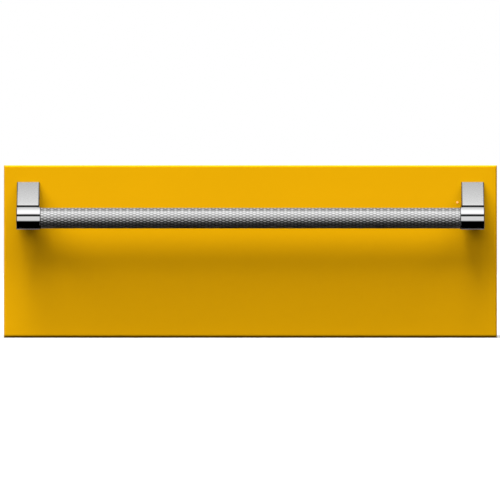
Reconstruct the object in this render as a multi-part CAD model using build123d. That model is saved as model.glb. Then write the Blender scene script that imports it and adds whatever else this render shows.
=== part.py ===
from build123d import *
import os

# Built-in warming drawer, 30 inch class, electric, with a full-extension drawer on ball slides.
#
# Millimetres. X runs to the right as seen from the front, Y runs back into the cabinet, Z is up.
# Y = 0 is the cabinet's face. Z = 0 is the floor of the cut-out, which the case stands on.

# ---- driving sizes: the drawer front --------------------------------------------------------
PANEL_WIDTH = 759.0
PANEL_HEIGHT = 265.3
PANEL_LOW = -17.25            # lower edge, a little below the floor of the cut-out
PANEL_FRONT = -34.5           # its front face
PANEL_BACK = -6.5             # the back of its folded lips
ROLLED_EDGE = 3.0             # outside radius where the face folds back
SKIN_SHEET = 1.2
LIP = 14.0                    # return lips at the back of the skin

# ---- driving sizes: the case and the cavity -------------------------------------------------
CASE_WIDTH = 717.0
CASE_HEIGHT = 229.0
CASE_DEPTH = 560.0
CASE_SHEET = 1.2
CASE_BEND = 2.0
CASE_FLANGE = 12.0
MOUTH_HALF = 336.0            # the cavity's inner wall, from the middle
MOUTH_LOW = 25.0
MOUTH_HIGH = 205.0
MOUTH_CORNER = 6.0
CAVITY_DEPTH = 500.0
LINER_SHEET = 1.0
LINER_FLANGE = 10.0
BULKHEAD = 521.0              # front of the wall between the insulation and the electrics
FRAME_SHEET = 2.0
FRAME_HALF = 374.0
FRAME_LOW = -10.0
FRAME_HIGH = 239.0

# ---- driving sizes: the slides, measured from the cavity wall inwards ------------------------
SLIDE_FRONT = 48.0
SLIDE_BACK = 493.0
SLIDE_LEVEL = 112.0           # middle height of the slides
SLIDE_SHEET = 1.2
SLIDE_BEND = 1.8
SLIDE_ROOM = 12.7             # from the cavity wall to the drawer side
OUTER_MEMBER = (0.0, 10.0, 22.5)        # web, flange tip, half height
MIDDLE_MEMBER = (2.2, 10.8, 17.2)
INNER_TIP = 4.6
INNER_HALF = 11.7
CAGE_LENGTH = 132.0
CAGE_SHEET = 0.5
OUTER_CAGE = (1.45, 8.0, 19.5)
INNER_CAGE = (3.7, 9.6, 14.1)
OUTER_BALL = (1.95, 5.6)      # radius, distance from the wall
INNER_BALL = (2.0, 7.6)
BALLS_PER_RACE = 3

# ---- driving sizes: the drawer box ------------------------------------------------------------
SIDE_FACE = MOUTH_HALF - SLIDE_ROOM     # outer face of each drawer side
DRAWER_SHEET = 1.2
DRAWER_LOW = 60.0
DRAWER_HIGH = 173.2           # top of the side flanges, which the pan's rim sits on
DRAWER_BACK = 488.0
PAN_HALF = 304.0
PAN_FRONT = 62.0
PAN_BACK = 470.0
PAN_LOW = 58.0
PAN_CORNER = 14.0
PAN_BOTTOM_EDGE = 10.0
PAN_RIM = 14.0
PAN_RIM_ENDS = 12.0

# ---- driving sizes: the insulated plug behind the front ---------------------------------------
PLUG_HALF = 330.0
PLUG_LOW = 30.0
PLUG_HIGH = 200.0
PLUG_BACK = 44.0
PLUG_SHEET = 1.0
PLATE_HALF = 374.0            # the flange of the inner panel
PLATE_LOW = -12.0
PLATE_HIGH = 241.0
GASKET_BACK = -2.3            # 0.3 in front of the face frame

# ---- driving sizes: the control strip on top of the plug --------------------------------------
STRIP_MIDDLE = 23.0           # in Y
FASCIA_WIDTH = 380.0
FASCIA_DEPTH = 38.0
FASCIA_HIGH = 202.0
HOUSING_HALF = 178.0
HOUSING_HALF_DEPTH = 15.0
HOUSING_LOW = 176.0
HOUSING_WALL = 1.5
BOARD_LOW = 186.0
BOARD_SHEET = 1.6
KEY_WIDTH = 22.0
KEY_DEPTH = 12.0
KEY_HIGH = 202.6
KEY_PLACES = {
    "key_power": -150.0,
    "key_low": -112.0,
    "key_medium": -74.0,
    "key_high": 74.0,
    "key_proof": 112.0,
    "key_timer": 150.0,
}
WINDOW_HALF = 38.0
WINDOW_HALF_DEPTH = 10.0

# ---- driving sizes: the moisture vent ----------------------------------------------------------
VENT_LEVEL = 187.0
VENT_SLOT = (10.0, 10.0)      # width, height
VENT_PITCH = 24.0
VENT_COUNT = 10
VENT_TRAVEL = 12.0
SLIDER_HALF = 130.0
SLIDER_HALF_HEIGHT = 8.0
SLIDER_FRONT = PLUG_BACK + 0.6
SLIDER_SHEET = 1.2

# ---- driving sizes: the handle ------------------------------------------------------------------
HANDLE_LEVEL = 166.4          # height of the bar's axis
HANDLE_REACH = 58.0           # from the face of the panel to the bar's axis
BAR_RADIUS = 15.875
BAR_WALL = 1.6
BAR_HALF = 347.5
BRACKET_OUTSIDE = 359.2       # outer end of each bracket
BRACKET_WIDTH = 34.4
FERRULE_RADIUS = 17.3
FERRULE_LENGTH = 36.8
FERRULE_EDGE = 0.8
BRACKET_TOP = 55.7            # above the axis, where the slope meets the panel
SLOPE_END = (42.0, 19.6)      # reach and height of the slope's lip
SLOPE_MIDDLE = (21.9, 38.7)   # a little proud of the straight line
HANDLE_SCREW_HEIGHTS = (25.0, 43.0)   # above the axis
HANDLE_SCREW_RADIUS = 3.0

# ---- driving sizes: the heater -------------------------------------------------------------------
TUBE_RADIUS = 3.25
TUBE_LEVEL = 38.0
TUBE_PITCH = 74.0
TUBE_RUNS = 6
TUBE_FRONT = 110.0
TUBE_REAR = 430.0
TUBE_END = 536.0
SUPPORT_PLACES = (150.0, 390.0)
BUSHING_RADIUS = 7.0

# ---- driving sizes: other places ------------------------------------------------------------------
INDICATOR_PLACE = (318.5, 191.0)
PROBE_PLACE = (200.0, 188.0)
PROBE_RADIUS = 3.0
CUTOUT_PLACE = (-200.0, 150.0)
BOARD_AREA = ((-110.0, 70.0), (60.0, 160.0))
BOARD_STAND = 4.8
CORD_PLACE = (250.0, 45.0)
CORD_BORE = 5.5
CORD_NECK = 9.5
MOUNT_SCREW_X = 368.0
MOUNT_SCREW_Z = (40.0, 190.0)
MOUNT_SCREW_RADIUS = 2.3
FRAME_SCREW_X = 352.5
FRAME_SCREW_Z = (45.0, 115.0, 185.0)
COVER_SCREW_Y = (60.0, 500.0)
REAR_SCREW_Z = (30.0, 200.0)
REAR_SCREW_X = 351.0
TIP_BRACKET_HALF = 40.0
TIP_BRACKET_REACH = 40.0
TIP_BRACKET_HEIGHT = 34.0
TIP_SHEET = 2.0
TIP_HOLE_X = 25.0
TIP_HOLE_Y = 585.0
TIP_HOLE_RADIUS = 2.75
TIP_SCREW_Z = 20.0
SLIDE_RIVET_Y = (80.0, 460.0)
SIDE_RIVET_Y = (90.0, 450.0)
RIVET_RADIUS = 2.4
TAB_SCREW_X = 315.0
TAB_SCREW_Z = (80.0, 150.0)
LIP_SCREWS = ((369.5, 5.0), (369.5, 225.0), (-369.5, 5.0), (-369.5, 225.0),
              (0.0, 236.5), (0.0, -7.5))
SCREW_RADIUS = 2.0
HEAD_RADIUS = 3.4
HEAD_HEIGHT = 2.0
PLAY = 0.05                   # a hole is this much larger in radius than its screw

SIDES = (-1, 1)


# ---- drawing helpers ---------------------------------------------------------------------------
def block(x, y, z):
    """A block between a pair of X, of Y and of Z."""
    ends = [sorted(pair) for pair in (x, y, z)]
    sizes = [high - low for low, high in ends]
    middle = [(low + high) / 2 for low, high in ends]
    return Pos(*middle) * Box(*sizes)


def along_x(face, start, end):
    """Runs a face drawn in (Y, Z) from one X to another."""
    plane = Plane(origin=(start, 0, 0), x_dir=(0, 1, 0), z_dir=(1, 0, 0))
    return extrude(plane * face, end - start)


def along_y(face, start, end):
    """Runs a face drawn in (X, Z) from one Y to another."""
    plane = Plane(origin=(0, end, 0), x_dir=(1, 0, 0), z_dir=(0, -1, 0))
    return extrude(plane * face, end - start)


def along_z(face, start, end):
    """Runs a face drawn in (X, Y) from one Z to another."""
    return extrude(Plane.XY.offset(start) * face, end - start)


def rod_x(radius, y, z, start, end):
    return along_x(Pos(y, z) * Circle(radius), start, end)


def rod_y(radius, x, z, start, end):
    return along_y(Pos(x, z) * Circle(radius), start, end)


def rod_z(radius, x, y, start, end):
    return along_z(Pos(x, y) * Circle(radius), start, end)


def folded(points, sheet, bend):
    """The section of a sheet folded along points, its thickness on the left of the way."""
    path = FilletPolyline(*points, radius=bend)
    return make_face(path.offset_2d(sheet, side=Side.LEFT))


def rounded(half_width, low, high, corner):
    """A rounded rectangle in (X, Z), centred on X = 0."""
    return Pos(0, (low + high) / 2) * RectangleRounded(2 * half_width, high - low, corner)


def group(parts):
    """Separate solids under one name."""
    return Compound([solid for part in parts for solid in part.solids()])


def screw_y(x, z, seat, tip, radius=SCREW_RADIUS, head=HEAD_RADIUS, height=HEAD_HEIGHT):
    """A screw along Y, its head on the seat and away from its tip."""
    toward = 1 if tip > seat else -1
    shank = rod_y(radius, x, z, min(seat, tip), max(seat, tip))
    crown = seat - toward * height
    return shank + rod_y(head, x, z, min(seat, crown), max(seat, crown))


def mirrored(part):
    return mirror(part, about=Plane.YZ)


# ---- the case ------------------------------------------------------------------------------------
def outer_case():
    """Bottom and sides in one folded sheet, with flanges for the cover, the frame and the back."""
    half = CASE_WIDTH / 2
    top = CASE_HEIGHT - CASE_SHEET
    rear = CASE_DEPTH - CASE_SHEET
    section = folded(
        [(-half + CASE_FLANGE, top), (-half, top), (-half, 0), (half, 0), (half, top),
         (half - CASE_FLANGE, top)], CASE_SHEET, CASE_BEND)
    case = along_y(section, 0, rear)
    wall = half - CASE_SHEET
    for side in SIDES:
        across = (side * (MOUTH_HALF + LINER_FLANGE + 1), side * wall)
        case += block(across, (0, CASE_SHEET), (12, 215))
        case += block(across, (rear - CASE_SHEET, rear), (12, 215))
        for z in FRAME_SCREW_Z:
            case -= rod_y(SCREW_RADIUS + PLAY, side * FRAME_SCREW_X, z, -1, 5)
        for z in REAR_SCREW_Z:
            case -= rod_y(SCREW_RADIUS + PLAY, side * REAR_SCREW_X, z, rear - 5, rear + 1)
        for y in COVER_SCREW_Y:
            case -= rod_z(SCREW_RADIUS + PLAY, side * FRAME_SCREW_X, y, top - 5, top + 1)
    case += block((-MOUTH_HALF, MOUTH_HALF), (0, CASE_SHEET), (CASE_SHEET, 12))
    return case


def case_top_cover():
    """The lid of the case, stiffened by three pressed beads."""
    low = CASE_HEIGHT - CASE_SHEET
    bead_height = 1.5
    cover = block((-CASE_WIDTH / 2, CASE_WIDTH / 2), (0, CASE_DEPTH - CASE_SHEET),
                  (low, CASE_HEIGHT))
    for y in (140, 280, 420):
        bead = along_z(Pos(0, y) * SlotOverall(560, 18), CASE_HEIGHT, CASE_HEIGHT + bead_height)
        bead = chamfer(bead.faces().sort_by(Axis.Z)[-1].edges(), bead_height - 0.2)
        cover += bead
        cover -= along_z(Pos(0, y) * SlotOverall(556, 14), low, CASE_HEIGHT)
    for side in SIDES:
        for y in COVER_SCREW_Y:
            cover -= rod_z(SCREW_RADIUS + PLAY, side * FRAME_SCREW_X, y, low, CASE_HEIGHT)
    return cover


def case_back_panel():
    """The removable back, with two fields of cooling slots and the hole for the cord bushing."""
    front = CASE_DEPTH - CASE_SHEET
    back = block((-CASE_WIDTH / 2, CASE_WIDTH / 2), (front, CASE_DEPTH), (0, CASE_HEIGHT))
    slot = SlotOverall(34, 4)
    for x in (-150, -105, 60, 105):
        for z in range(120, 185, 12):
            back -= along_y(Pos(x, z) * slot, front, CASE_DEPTH)
    back -= rod_y(CORD_NECK, *CORD_PLACE, front, CASE_DEPTH)
    for side in SIDES:
        for z in REAR_SCREW_Z:
            back -= rod_y(SCREW_RADIUS + PLAY, side * REAR_SCREW_X, z, front, CASE_DEPTH)
        back -= rod_y(SCREW_RADIUS + PLAY, side * TIP_HOLE_X, TIP_SCREW_Z, front, CASE_DEPTH)
    return back


def face_frame():
    """The plate that covers the edge of the cut-out and is screwed to the cabinet."""
    frame = along_y(rounded(FRAME_HALF, FRAME_LOW, FRAME_HIGH, 3), -FRAME_SHEET, 0)
    frame -= along_y(rounded(MOUTH_HALF, MOUTH_LOW, MOUTH_HIGH, MOUTH_CORNER), -FRAME_SHEET, 0)
    for side in SIDES:
        for z in FRAME_SCREW_Z:
            frame -= rod_y(SCREW_RADIUS + PLAY, side * FRAME_SCREW_X, z, -FRAME_SHEET, 0)
        for z in MOUNT_SCREW_Z:
            frame -= rod_y(MOUNT_SCREW_RADIUS, side * MOUNT_SCREW_X, z, -FRAME_SHEET, 0)
    return frame


def face_frame_screws():
    return group(screw_y(side * FRAME_SCREW_X, z, -FRAME_SHEET, 9)
                 for side in SIDES for z in FRAME_SCREW_Z)


def case_screws():
    """Screws of the cover, of the back panel and of the anti-tip bracket."""
    screws = []
    for side in SIDES:
        for y in COVER_SCREW_Y:
            x = side * FRAME_SCREW_X
            shank = rod_z(SCREW_RADIUS, x, y, CASE_HEIGHT - 2 * CASE_SHEET, CASE_HEIGHT)
            screws.append(shank + rod_z(HEAD_RADIUS, x, y, CASE_HEIGHT, CASE_HEIGHT + HEAD_HEIGHT))
        for z in REAR_SCREW_Z:
            screws.append(screw_y(side * REAR_SCREW_X, z, CASE_DEPTH, CASE_DEPTH - 8))
        screws.append(screw_y(side * TIP_HOLE_X, TIP_SCREW_Z, CASE_DEPTH + TIP_SHEET,
                              CASE_DEPTH - 8))
    return group(screws)


def anti_tip_bracket():
    """A folded strip that ties the back of the case to the cabinet's floor."""
    section = folded(
        [(CASE_DEPTH, TIP_BRACKET_HEIGHT), (CASE_DEPTH, 0), (CASE_DEPTH + TIP_BRACKET_REACH, 0)],
        TIP_SHEET, 3.0)
    bracket = along_x(section, -TIP_BRACKET_HALF, TIP_BRACKET_HALF)
    for side in SIDES:
        bracket -= rod_z(TIP_HOLE_RADIUS, side * TIP_HOLE_X, TIP_HOLE_Y, 0, TIP_SHEET)
        bracket -= rod_y(SCREW_RADIUS + PLAY, side * TIP_HOLE_X, TIP_SCREW_Z, CASE_DEPTH,
                         CASE_DEPTH + TIP_SHEET)
    return bracket


# ---- the cavity -----------------------------------------------------------------------------------
def cavity_liner():
    """The seamless oven box: four rounded walls, a back and a flange behind the face frame."""
    inside = rounded(MOUTH_HALF, MOUTH_LOW, MOUTH_HIGH, MOUTH_CORNER)
    outside = rounded(MOUTH_HALF + LINER_SHEET, MOUTH_LOW - LINER_SHEET,
                      MOUTH_HIGH + LINER_SHEET, MOUTH_CORNER + LINER_SHEET)
    flange = rounded(MOUTH_HALF + LINER_FLANGE, MOUTH_LOW - LINER_FLANGE,
                     MOUTH_HIGH + LINER_FLANGE, 2)
    back = CAVITY_DEPTH + LINER_SHEET
    liner = along_y(outside, 0, back) + along_y(flange, 0, LINER_SHEET)
    liner -= along_y(inside, 0, CAVITY_DEPTH)
    for side in SIDES:
        liner -= rod_y(BUSHING_RADIUS, side * element_end_x(), TUBE_LEVEL, CAVITY_DEPTH, back)
        for y in SLIDE_RIVET_Y:
            wall = (side * MOUTH_HALF, side * (MOUTH_HALF + LINER_SHEET))
            liner -= rod_x(RIVET_RADIUS, y, SLIDE_LEVEL, min(wall), max(wall))
    liner -= rod_y(PROBE_RADIUS, *PROBE_PLACE, CAVITY_DEPTH, back)
    return liner


def insulation_wrap():
    """One blanket over the top and down both sides of the liner."""
    wall = CASE_WIDTH / 2 - CASE_SHEET
    low = MOUTH_LOW - LINER_SHEET
    high = CASE_HEIGHT - 2 * CASE_SHEET
    hollow = rounded(MOUTH_HALF + LINER_SHEET, low, MOUTH_HIGH + LINER_SHEET,
                     MOUTH_CORNER + LINER_SHEET)
    section = rounded(wall, low, high, 1) - hollow
    section -= Pos(0, low + 10) * Rectangle(2 * (MOUTH_HALF + LINER_SHEET), 20)
    wrap = along_y(section, 11.2, BULKHEAD)
    for side in SIDES:
        pocket = (side * (MOUTH_HALF + LINER_SHEET), side * (MOUTH_HALF + LINER_SHEET + 3.2))
        for y in SLIDE_RIVET_Y:
            wrap -= rod_x(5.0, y, SLIDE_LEVEL, min(pocket), max(pocket))
    return wrap


def insulation_floor():
    wall = CASE_WIDTH / 2 - CASE_SHEET - 1
    return block((-wall, wall), (11.2, BULKHEAD), (CASE_SHEET, MOUTH_LOW - LINER_SHEET))


def insulation_rear():
    """The pad behind the liner, pierced for the heater's ends and the probe."""
    outline = rounded(MOUTH_HALF + LINER_SHEET, MOUTH_LOW - LINER_SHEET,
                      MOUTH_HIGH + LINER_SHEET, MOUTH_CORNER + LINER_SHEET)
    pad = along_y(outline, CAVITY_DEPTH + LINER_SHEET, BULKHEAD)
    for side in SIDES:
        pad -= rod_y(BUSHING_RADIUS, side * element_end_x(), TUBE_LEVEL, CAVITY_DEPTH, BULKHEAD)
    return pad - rod_y(PROBE_RADIUS, *PROBE_PLACE, CAVITY_DEPTH, BULKHEAD)


def board_bosses():
    """Places of the four bosses that the power board stands on."""
    (left, right), (low, high) = BOARD_AREA
    return [(x, z) for x in (left + 6, right - 6) for z in (low + 6, high - 6)]


def rear_bulkhead():
    """The wall that keeps the insulation off the electrics, with bosses for the power board."""
    wall = CASE_WIDTH / 2 - CASE_SHEET
    back = BULKHEAD + CASE_SHEET
    outline = rounded(wall, CASE_SHEET, CASE_HEIGHT - 2 * CASE_SHEET, 2)
    bulkhead = along_y(outline, BULKHEAD, back)
    for side in SIDES:
        bulkhead -= rod_y(BUSHING_RADIUS, side * element_end_x(), TUBE_LEVEL, BULKHEAD, back)
    bulkhead -= rod_y(PROBE_RADIUS, *PROBE_PLACE, BULKHEAD, back)
    for x, z in board_bosses():
        bulkhead += rod_y(4.0, x, z, back, back + BOARD_STAND)
    return bulkhead


# ---- heater, sensors and electrics ------------------------------------------------------------------
def element_end_x():
    """How far the heater's first and last runs lie from the middle."""
    return TUBE_PITCH * (TUBE_RUNS - 1) / 2


def heating_element():
    """A tubular heater of straight runs and half-round turns, both ends leaving at the back."""
    turn = TUBE_PITCH / 2
    x = -element_end_x()
    here = (x, TUBE_END)
    path = []
    for run in range(TUBE_RUNS):
        forward = run % 2 == 0
        last = run == TUBE_RUNS - 1
        there = (x, TUBE_FRONT if forward else (TUBE_END if last else TUBE_REAR))
        path.append(Line(here, there))
        if not last:
            bulge = -turn if forward else turn
            here = (x + TUBE_PITCH, there[1])
            path.append(ThreePointArc(there, (x + turn, there[1] + bulge), here))
        x += TUBE_PITCH
    route = Wire([edge for piece in path for edge in piece.edges()])
    route = Pos(0, 0, TUBE_LEVEL) * route
    start = Plane(origin=(-element_end_x(), TUBE_END, TUBE_LEVEL), z_dir=(0, -1, 0))
    tube = sweep(start * Circle(TUBE_RADIUS), path=route)
    for side in SIDES:
        tube += rod_y(1.6, side * element_end_x(), TUBE_LEVEL, TUBE_END, TUBE_END + 11)
    return tube


def element_supports():
    """Two notched angles on the cavity's floor that carry the heater's runs."""
    supports = []
    half = element_end_x() + 16
    for y in SUPPORT_PLACES:
        section = folded([(y, TUBE_LEVEL + 7), (y, MOUTH_LOW), (y + 13, MOUTH_LOW)], 1.0, 1.5)
        bar = along_x(section, -half, half)
        for run in range(TUBE_RUNS):
            x = -element_end_x() + run * TUBE_PITCH
            bar -= rod_y(TUBE_RADIUS, x, TUBE_LEVEL, y - 1, y + 3)
            bar -= block((x - TUBE_RADIUS, x + TUBE_RADIUS), (y - 1, y + 3),
                         (TUBE_LEVEL, TUBE_LEVEL + 8))
        supports.append(bar)
    return group(supports)


def element_bushings():
    """Ceramic sleeves that lead the heater's ends out through the rear wall."""
    back = BULKHEAD + CASE_SHEET
    sleeves = []
    for side in SIDES:
        x = side * element_end_x()
        sleeve = rod_y(BUSHING_RADIUS, x, TUBE_LEVEL, CAVITY_DEPTH - 3, back + 6)
        sleeve += rod_y(BUSHING_RADIUS + 3, x, TUBE_LEVEL, back, back + 3)
        sleeves.append(sleeve - rod_y(TUBE_RADIUS, x, TUBE_LEVEL, CAVITY_DEPTH - 3, back + 6))
    return group(sleeves)


def temperature_probe():
    """The sensor in the cavity, above the pan, with its flange on the rear wall."""
    x, z = PROBE_PLACE
    probe = rod_y(PROBE_RADIUS, x, z, 440, BULKHEAD + 12)
    probe = fillet(probe.faces().sort_by(Axis.Y)[0].edges(), PROBE_RADIUS - 0.6)
    flange = along_y(Pos(x, z) * RectangleRounded(26, 14, 3), CAVITY_DEPTH - 1, CAVITY_DEPTH)
    return probe + flange


def thermal_cutout():
    """A disc thermostat on the bulkhead, with its ears and two tabs."""
    x, z = CUTOUT_PLACE
    back = BULKHEAD + CASE_SHEET
    cutout = rod_y(9, x, z, back, back + 9)
    cutout += along_y(Pos(x, z) * SlotOverall(36, 12), back, back + 1)
    for offset in (-5, 5):
        cutout += block((x + offset - 0.4, x + offset + 0.4), (back + 9, back + 17),
                        (z - 3.1, z + 3.1))
    return cutout


def power_board():
    """The relay and supply board behind the bulkhead."""
    (left, right), (low, high) = BOARD_AREA
    front = BULKHEAD + CASE_SHEET + BOARD_STAND
    face = front + BOARD_SHEET
    board = block((left, right), (front, face), (low, high))
    for x in (left + 14, left + 38, left + 62):
        board += block((x, x + 18), (face, face + 15), (high - 42, high - 14))
    board += block((right - 58, right - 14), (face, face + 24), (low + 16, low + 52))
    for x in (left + 22, left + 40):
        board += rod_y(6, x, low + 28, face, face + 20)
    board += block((left + 60, left + 104), (face, face + 9), (low + 4, low + 12))
    return board


def terminal_block():
    """Three chambers, each with its clamp screw, on the bulkhead near the cord's entry."""
    back = BULKHEAD + CASE_SHEET
    x0, z0 = 90.0, 30.0
    pitch = 18.0
    base = block((x0, x0 + 3 * pitch), (back, back + 16), (z0, z0 + 20))
    for chamber in range(3):
        x = x0 + pitch * (chamber + 0.5)
        base -= block((x - 6.5, x + 6.5), (back + 8, back + 16), (z0 + 3, z0 + 20))
        base += rod_y(3.4, x, z0 + 11, back + 8, back + 13)
    return base


def cord_bushing():
    """A flanged bushing in the back panel, where the supply cord enters."""
    x, z = CORD_PLACE
    front = CASE_DEPTH - CASE_SHEET
    bushing = rod_y(CORD_NECK, x, z, front, CASE_DEPTH)
    bushing += rod_y(CORD_NECK + 3, x, z, CASE_DEPTH, CASE_DEPTH + 3)
    bushing += rod_y(CORD_NECK + 2, x, z, front - 3, front)
    return bushing - rod_y(CORD_BORE, x, z, front - 3, CASE_DEPTH + 3)


# ---- the slides ---------------------------------------------------------------------------------------
def channel_to_drawer(web, tip, half):
    """The section of a channel on the right side, its back to the wall and open to the drawer."""
    wall = MOUTH_HALF - web
    mouth = MOUTH_HALF - tip
    return [(mouth, SLIDE_LEVEL - half), (wall, SLIDE_LEVEL - half),
            (wall, SLIDE_LEVEL + half), (mouth, SLIDE_LEVEL + half)]


def slide_windows(member, near, far, half_height):
    """Long openings in a slide's web, as they are pressed to save weight and to reach screws."""
    for y in (170, 270, 370):
        opening = along_x(Pos(y, SLIDE_LEVEL) * SlotOverall(44, 2 * half_height), near, far)
        member -= opening
    return member


def slide_outer():
    """The right outer member, riveted to the cavity wall."""
    section = folded(channel_to_drawer(*OUTER_MEMBER), SLIDE_SHEET, SLIDE_BEND)
    member = along_y(section, SLIDE_FRONT, SLIDE_BACK)
    member = slide_windows(member, MOUTH_HALF - SLIDE_SHEET, MOUTH_HALF, 6)
    for y in SLIDE_RIVET_Y:
        member -= rod_x(RIVET_RADIUS, y, SLIDE_LEVEL, MOUTH_HALF - SLIDE_SHEET, MOUTH_HALF)
    return member


def slide_middle():
    """The right middle member, which runs half as far as the drawer."""
    section = folded(channel_to_drawer(*MIDDLE_MEMBER), SLIDE_SHEET, SLIDE_BEND)
    member = along_y(section, SLIDE_FRONT, SLIDE_BACK)
    wall = MOUTH_HALF - MIDDLE_MEMBER[0]
    return slide_windows(member, wall - SLIDE_SHEET, wall, 5)


def slide_inner():
    """The right inner member, riveted to the drawer side and open towards the wall."""
    tip = MOUTH_HALF - INNER_TIP
    points = [(tip, SLIDE_LEVEL + INNER_HALF), (SIDE_FACE, SLIDE_LEVEL + INNER_HALF),
              (SIDE_FACE, SLIDE_LEVEL - INNER_HALF), (tip, SLIDE_LEVEL - INNER_HALF)]
    member = along_y(folded(points, SLIDE_SHEET, SLIDE_BEND), SLIDE_FRONT, SLIDE_BACK)
    for y in SIDE_RIVET_Y:
        member -= rod_x(RIVET_RADIUS, y, SLIDE_LEVEL, SIDE_FACE, SIDE_FACE + SLIDE_SHEET)
    return member


def ball_cage(section_sizes, ball, race_half):
    """A thin channel with its balls, which rolls between two members of the right slide."""
    middle = (SLIDE_FRONT + SLIDE_BACK) / 2
    section = folded(channel_to_drawer(*section_sizes), CAGE_SHEET, 0.9)
    cage = along_y(section, middle - CAGE_LENGTH / 2, middle + CAGE_LENGTH / 2)
    radius, from_wall = ball
    step = (CAGE_LENGTH - 16) / (BALLS_PER_RACE - 1)
    for place in range(BALLS_PER_RACE):
        y = middle + (place - (BALLS_PER_RACE - 1) / 2) * step
        for z in (SLIDE_LEVEL - race_half, SLIDE_LEVEL + race_half):
            cage += Pos(MOUTH_HALF - from_wall, y, z) * Sphere(radius)
    return cage


def ball_cages_outer():
    race = OUTER_CAGE[2] - CAGE_SHEET / 2
    cage = ball_cage(OUTER_CAGE, OUTER_BALL, race)
    return group([cage, mirrored(cage)])


def ball_cages_inner():
    race = INNER_CAGE[2] - CAGE_SHEET / 2
    cage = ball_cage(INNER_CAGE, INNER_BALL, race)
    return group([cage, mirrored(cage)])


def slide_rivets():
    """Rivets that hold the outer members to the cavity walls."""
    rivets = []
    for y in SLIDE_RIVET_Y:
        rivet = rod_x(RIVET_RADIUS, y, SLIDE_LEVEL, MOUTH_HALF - SLIDE_SHEET,
                      MOUTH_HALF + LINER_SHEET)
        rivet += rod_x(4.2, y, SLIDE_LEVEL, MOUTH_HALF + LINER_SHEET,
                       MOUTH_HALF + LINER_SHEET + 2.2)
        rivets += [rivet, mirrored(rivet)]
    return group(rivets)


# ---- the drawer box -------------------------------------------------------------------------------------
def drawer_side():
    """The right drawer side: a channel with a wide top flange for the pan, and end tabs."""
    inner = SIDE_FACE - DRAWER_SHEET
    section = folded(
        [(SIDE_FACE - 8, DRAWER_LOW), (SIDE_FACE, DRAWER_LOW), (SIDE_FACE, DRAWER_HIGH),
         (SIDE_FACE - 15, DRAWER_HIGH)], DRAWER_SHEET, 2.0)
    side = along_y(section, PLUG_BACK, DRAWER_BACK)
    tab = (inner - 13, inner)
    height = (DRAWER_LOW + 2, DRAWER_HIGH - 2)
    back_tab = DRAWER_BACK - 2 * DRAWER_SHEET
    side += block(tab, (PLUG_BACK, PLUG_BACK + DRAWER_SHEET), height)
    side += block(tab, (back_tab, back_tab + DRAWER_SHEET), height)
    for z in TAB_SCREW_Z:
        side -= rod_y(SCREW_RADIUS + PLAY, TAB_SCREW_X, z, PLUG_BACK, DRAWER_BACK)
    for y in SIDE_RIVET_Y:
        side -= rod_x(RIVET_RADIUS, y, SLIDE_LEVEL, inner, SIDE_FACE)
    return side


def drawer_back():
    """The drawer's rear wall, folded forward at its top to carry the pan."""
    section = folded(
        [(DRAWER_BACK - 8, DRAWER_LOW), (DRAWER_BACK, DRAWER_LOW), (DRAWER_BACK, DRAWER_HIGH),
         (PAN_BACK + 2, DRAWER_HIGH)], DRAWER_SHEET, 2.0)
    back = along_x(section, -PAN_HALF, PAN_HALF)
    reach = SIDE_FACE - DRAWER_SHEET
    back += block((-reach, reach), (DRAWER_BACK - DRAWER_SHEET, DRAWER_BACK),
                  (DRAWER_LOW + 2, DRAWER_HIGH - 2))
    for side in SIDES:
        for z in TAB_SCREW_Z:
            back -= rod_y(SCREW_RADIUS + PLAY, side * TAB_SCREW_X, z, DRAWER_BACK - 3,
                          DRAWER_BACK)
    return back


def drawer_front_rail():
    """An angle on the plug's back that carries the front of the pan."""
    section = folded(
        [(PAN_FRONT - 2, DRAWER_HIGH), (PLUG_BACK, DRAWER_HIGH), (PLUG_BACK, 148)],
        DRAWER_SHEET, 2.0)
    return along_x(section, -PAN_HALF, PAN_HALF)


def drawer_pan():
    """The lift-out pan: a deep drawn tray whose rim sits on the drawer's flanges."""
    length = PAN_BACK - PAN_FRONT
    centre = (PAN_FRONT + PAN_BACK) / 2
    rim_high = DRAWER_HIGH + DRAWER_SHEET

    def tray(inset):
        outline = RectangleRounded(2 * (PAN_HALF - inset), length - 2 * inset, PAN_CORNER - inset)
        body = along_z(Pos(0, centre) * outline, PAN_LOW + inset, rim_high)
        return fillet(body.faces().sort_by(Axis.Z)[0].edges(), PAN_BOTTOM_EDGE - inset)

    rim = Pos(0, centre) * RectangleRounded(2 * (PAN_HALF + PAN_RIM),
                                            length + 2 * PAN_RIM_ENDS, PAN_CORNER + 6)
    return tray(0) + along_z(rim, DRAWER_HIGH, rim_high) - tray(DRAWER_SHEET)


def drawer_fixings():
    """Rivets of the inner slide members, tab screws, and the screws through the front's lips."""
    inner = SIDE_FACE - DRAWER_SHEET
    fixings = []
    for y in SIDE_RIVET_Y:
        rivet = rod_x(RIVET_RADIUS, y, SLIDE_LEVEL, inner, SIDE_FACE + SLIDE_SHEET)
        rivet += rod_x(4.2, y, SLIDE_LEVEL, inner - 2.2, inner)
        fixings += [rivet, mirrored(rivet)]
    for side in SIDES:
        for z in TAB_SCREW_Z:
            x = side * TAB_SCREW_X
            fixings.append(screw_y(x, z, PLUG_BACK + DRAWER_SHEET, PLUG_BACK - 5))
            fixings.append(screw_y(x, z, DRAWER_BACK, DRAWER_BACK - 8))
    for x, z in LIP_SCREWS:
        fixings.append(screw_y(x, z, PANEL_BACK + PLUG_SHEET, PANEL_BACK - 6))
    return group(fixings)


# ---- the front -------------------------------------------------------------------------------------------
def panel_block(inset, back):
    """The drawer front's outer form, with its rolled edges, drawn in by an inset."""
    half = PANEL_WIDTH / 2 - inset
    form = block((-half, half), (PANEL_FRONT + inset, back),
                 (PANEL_LOW + inset, PANEL_LOW + PANEL_HEIGHT - inset))
    return fillet(form.faces().sort_by(Axis.Y)[0].edges(), ROLLED_EDGE - inset)


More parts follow.
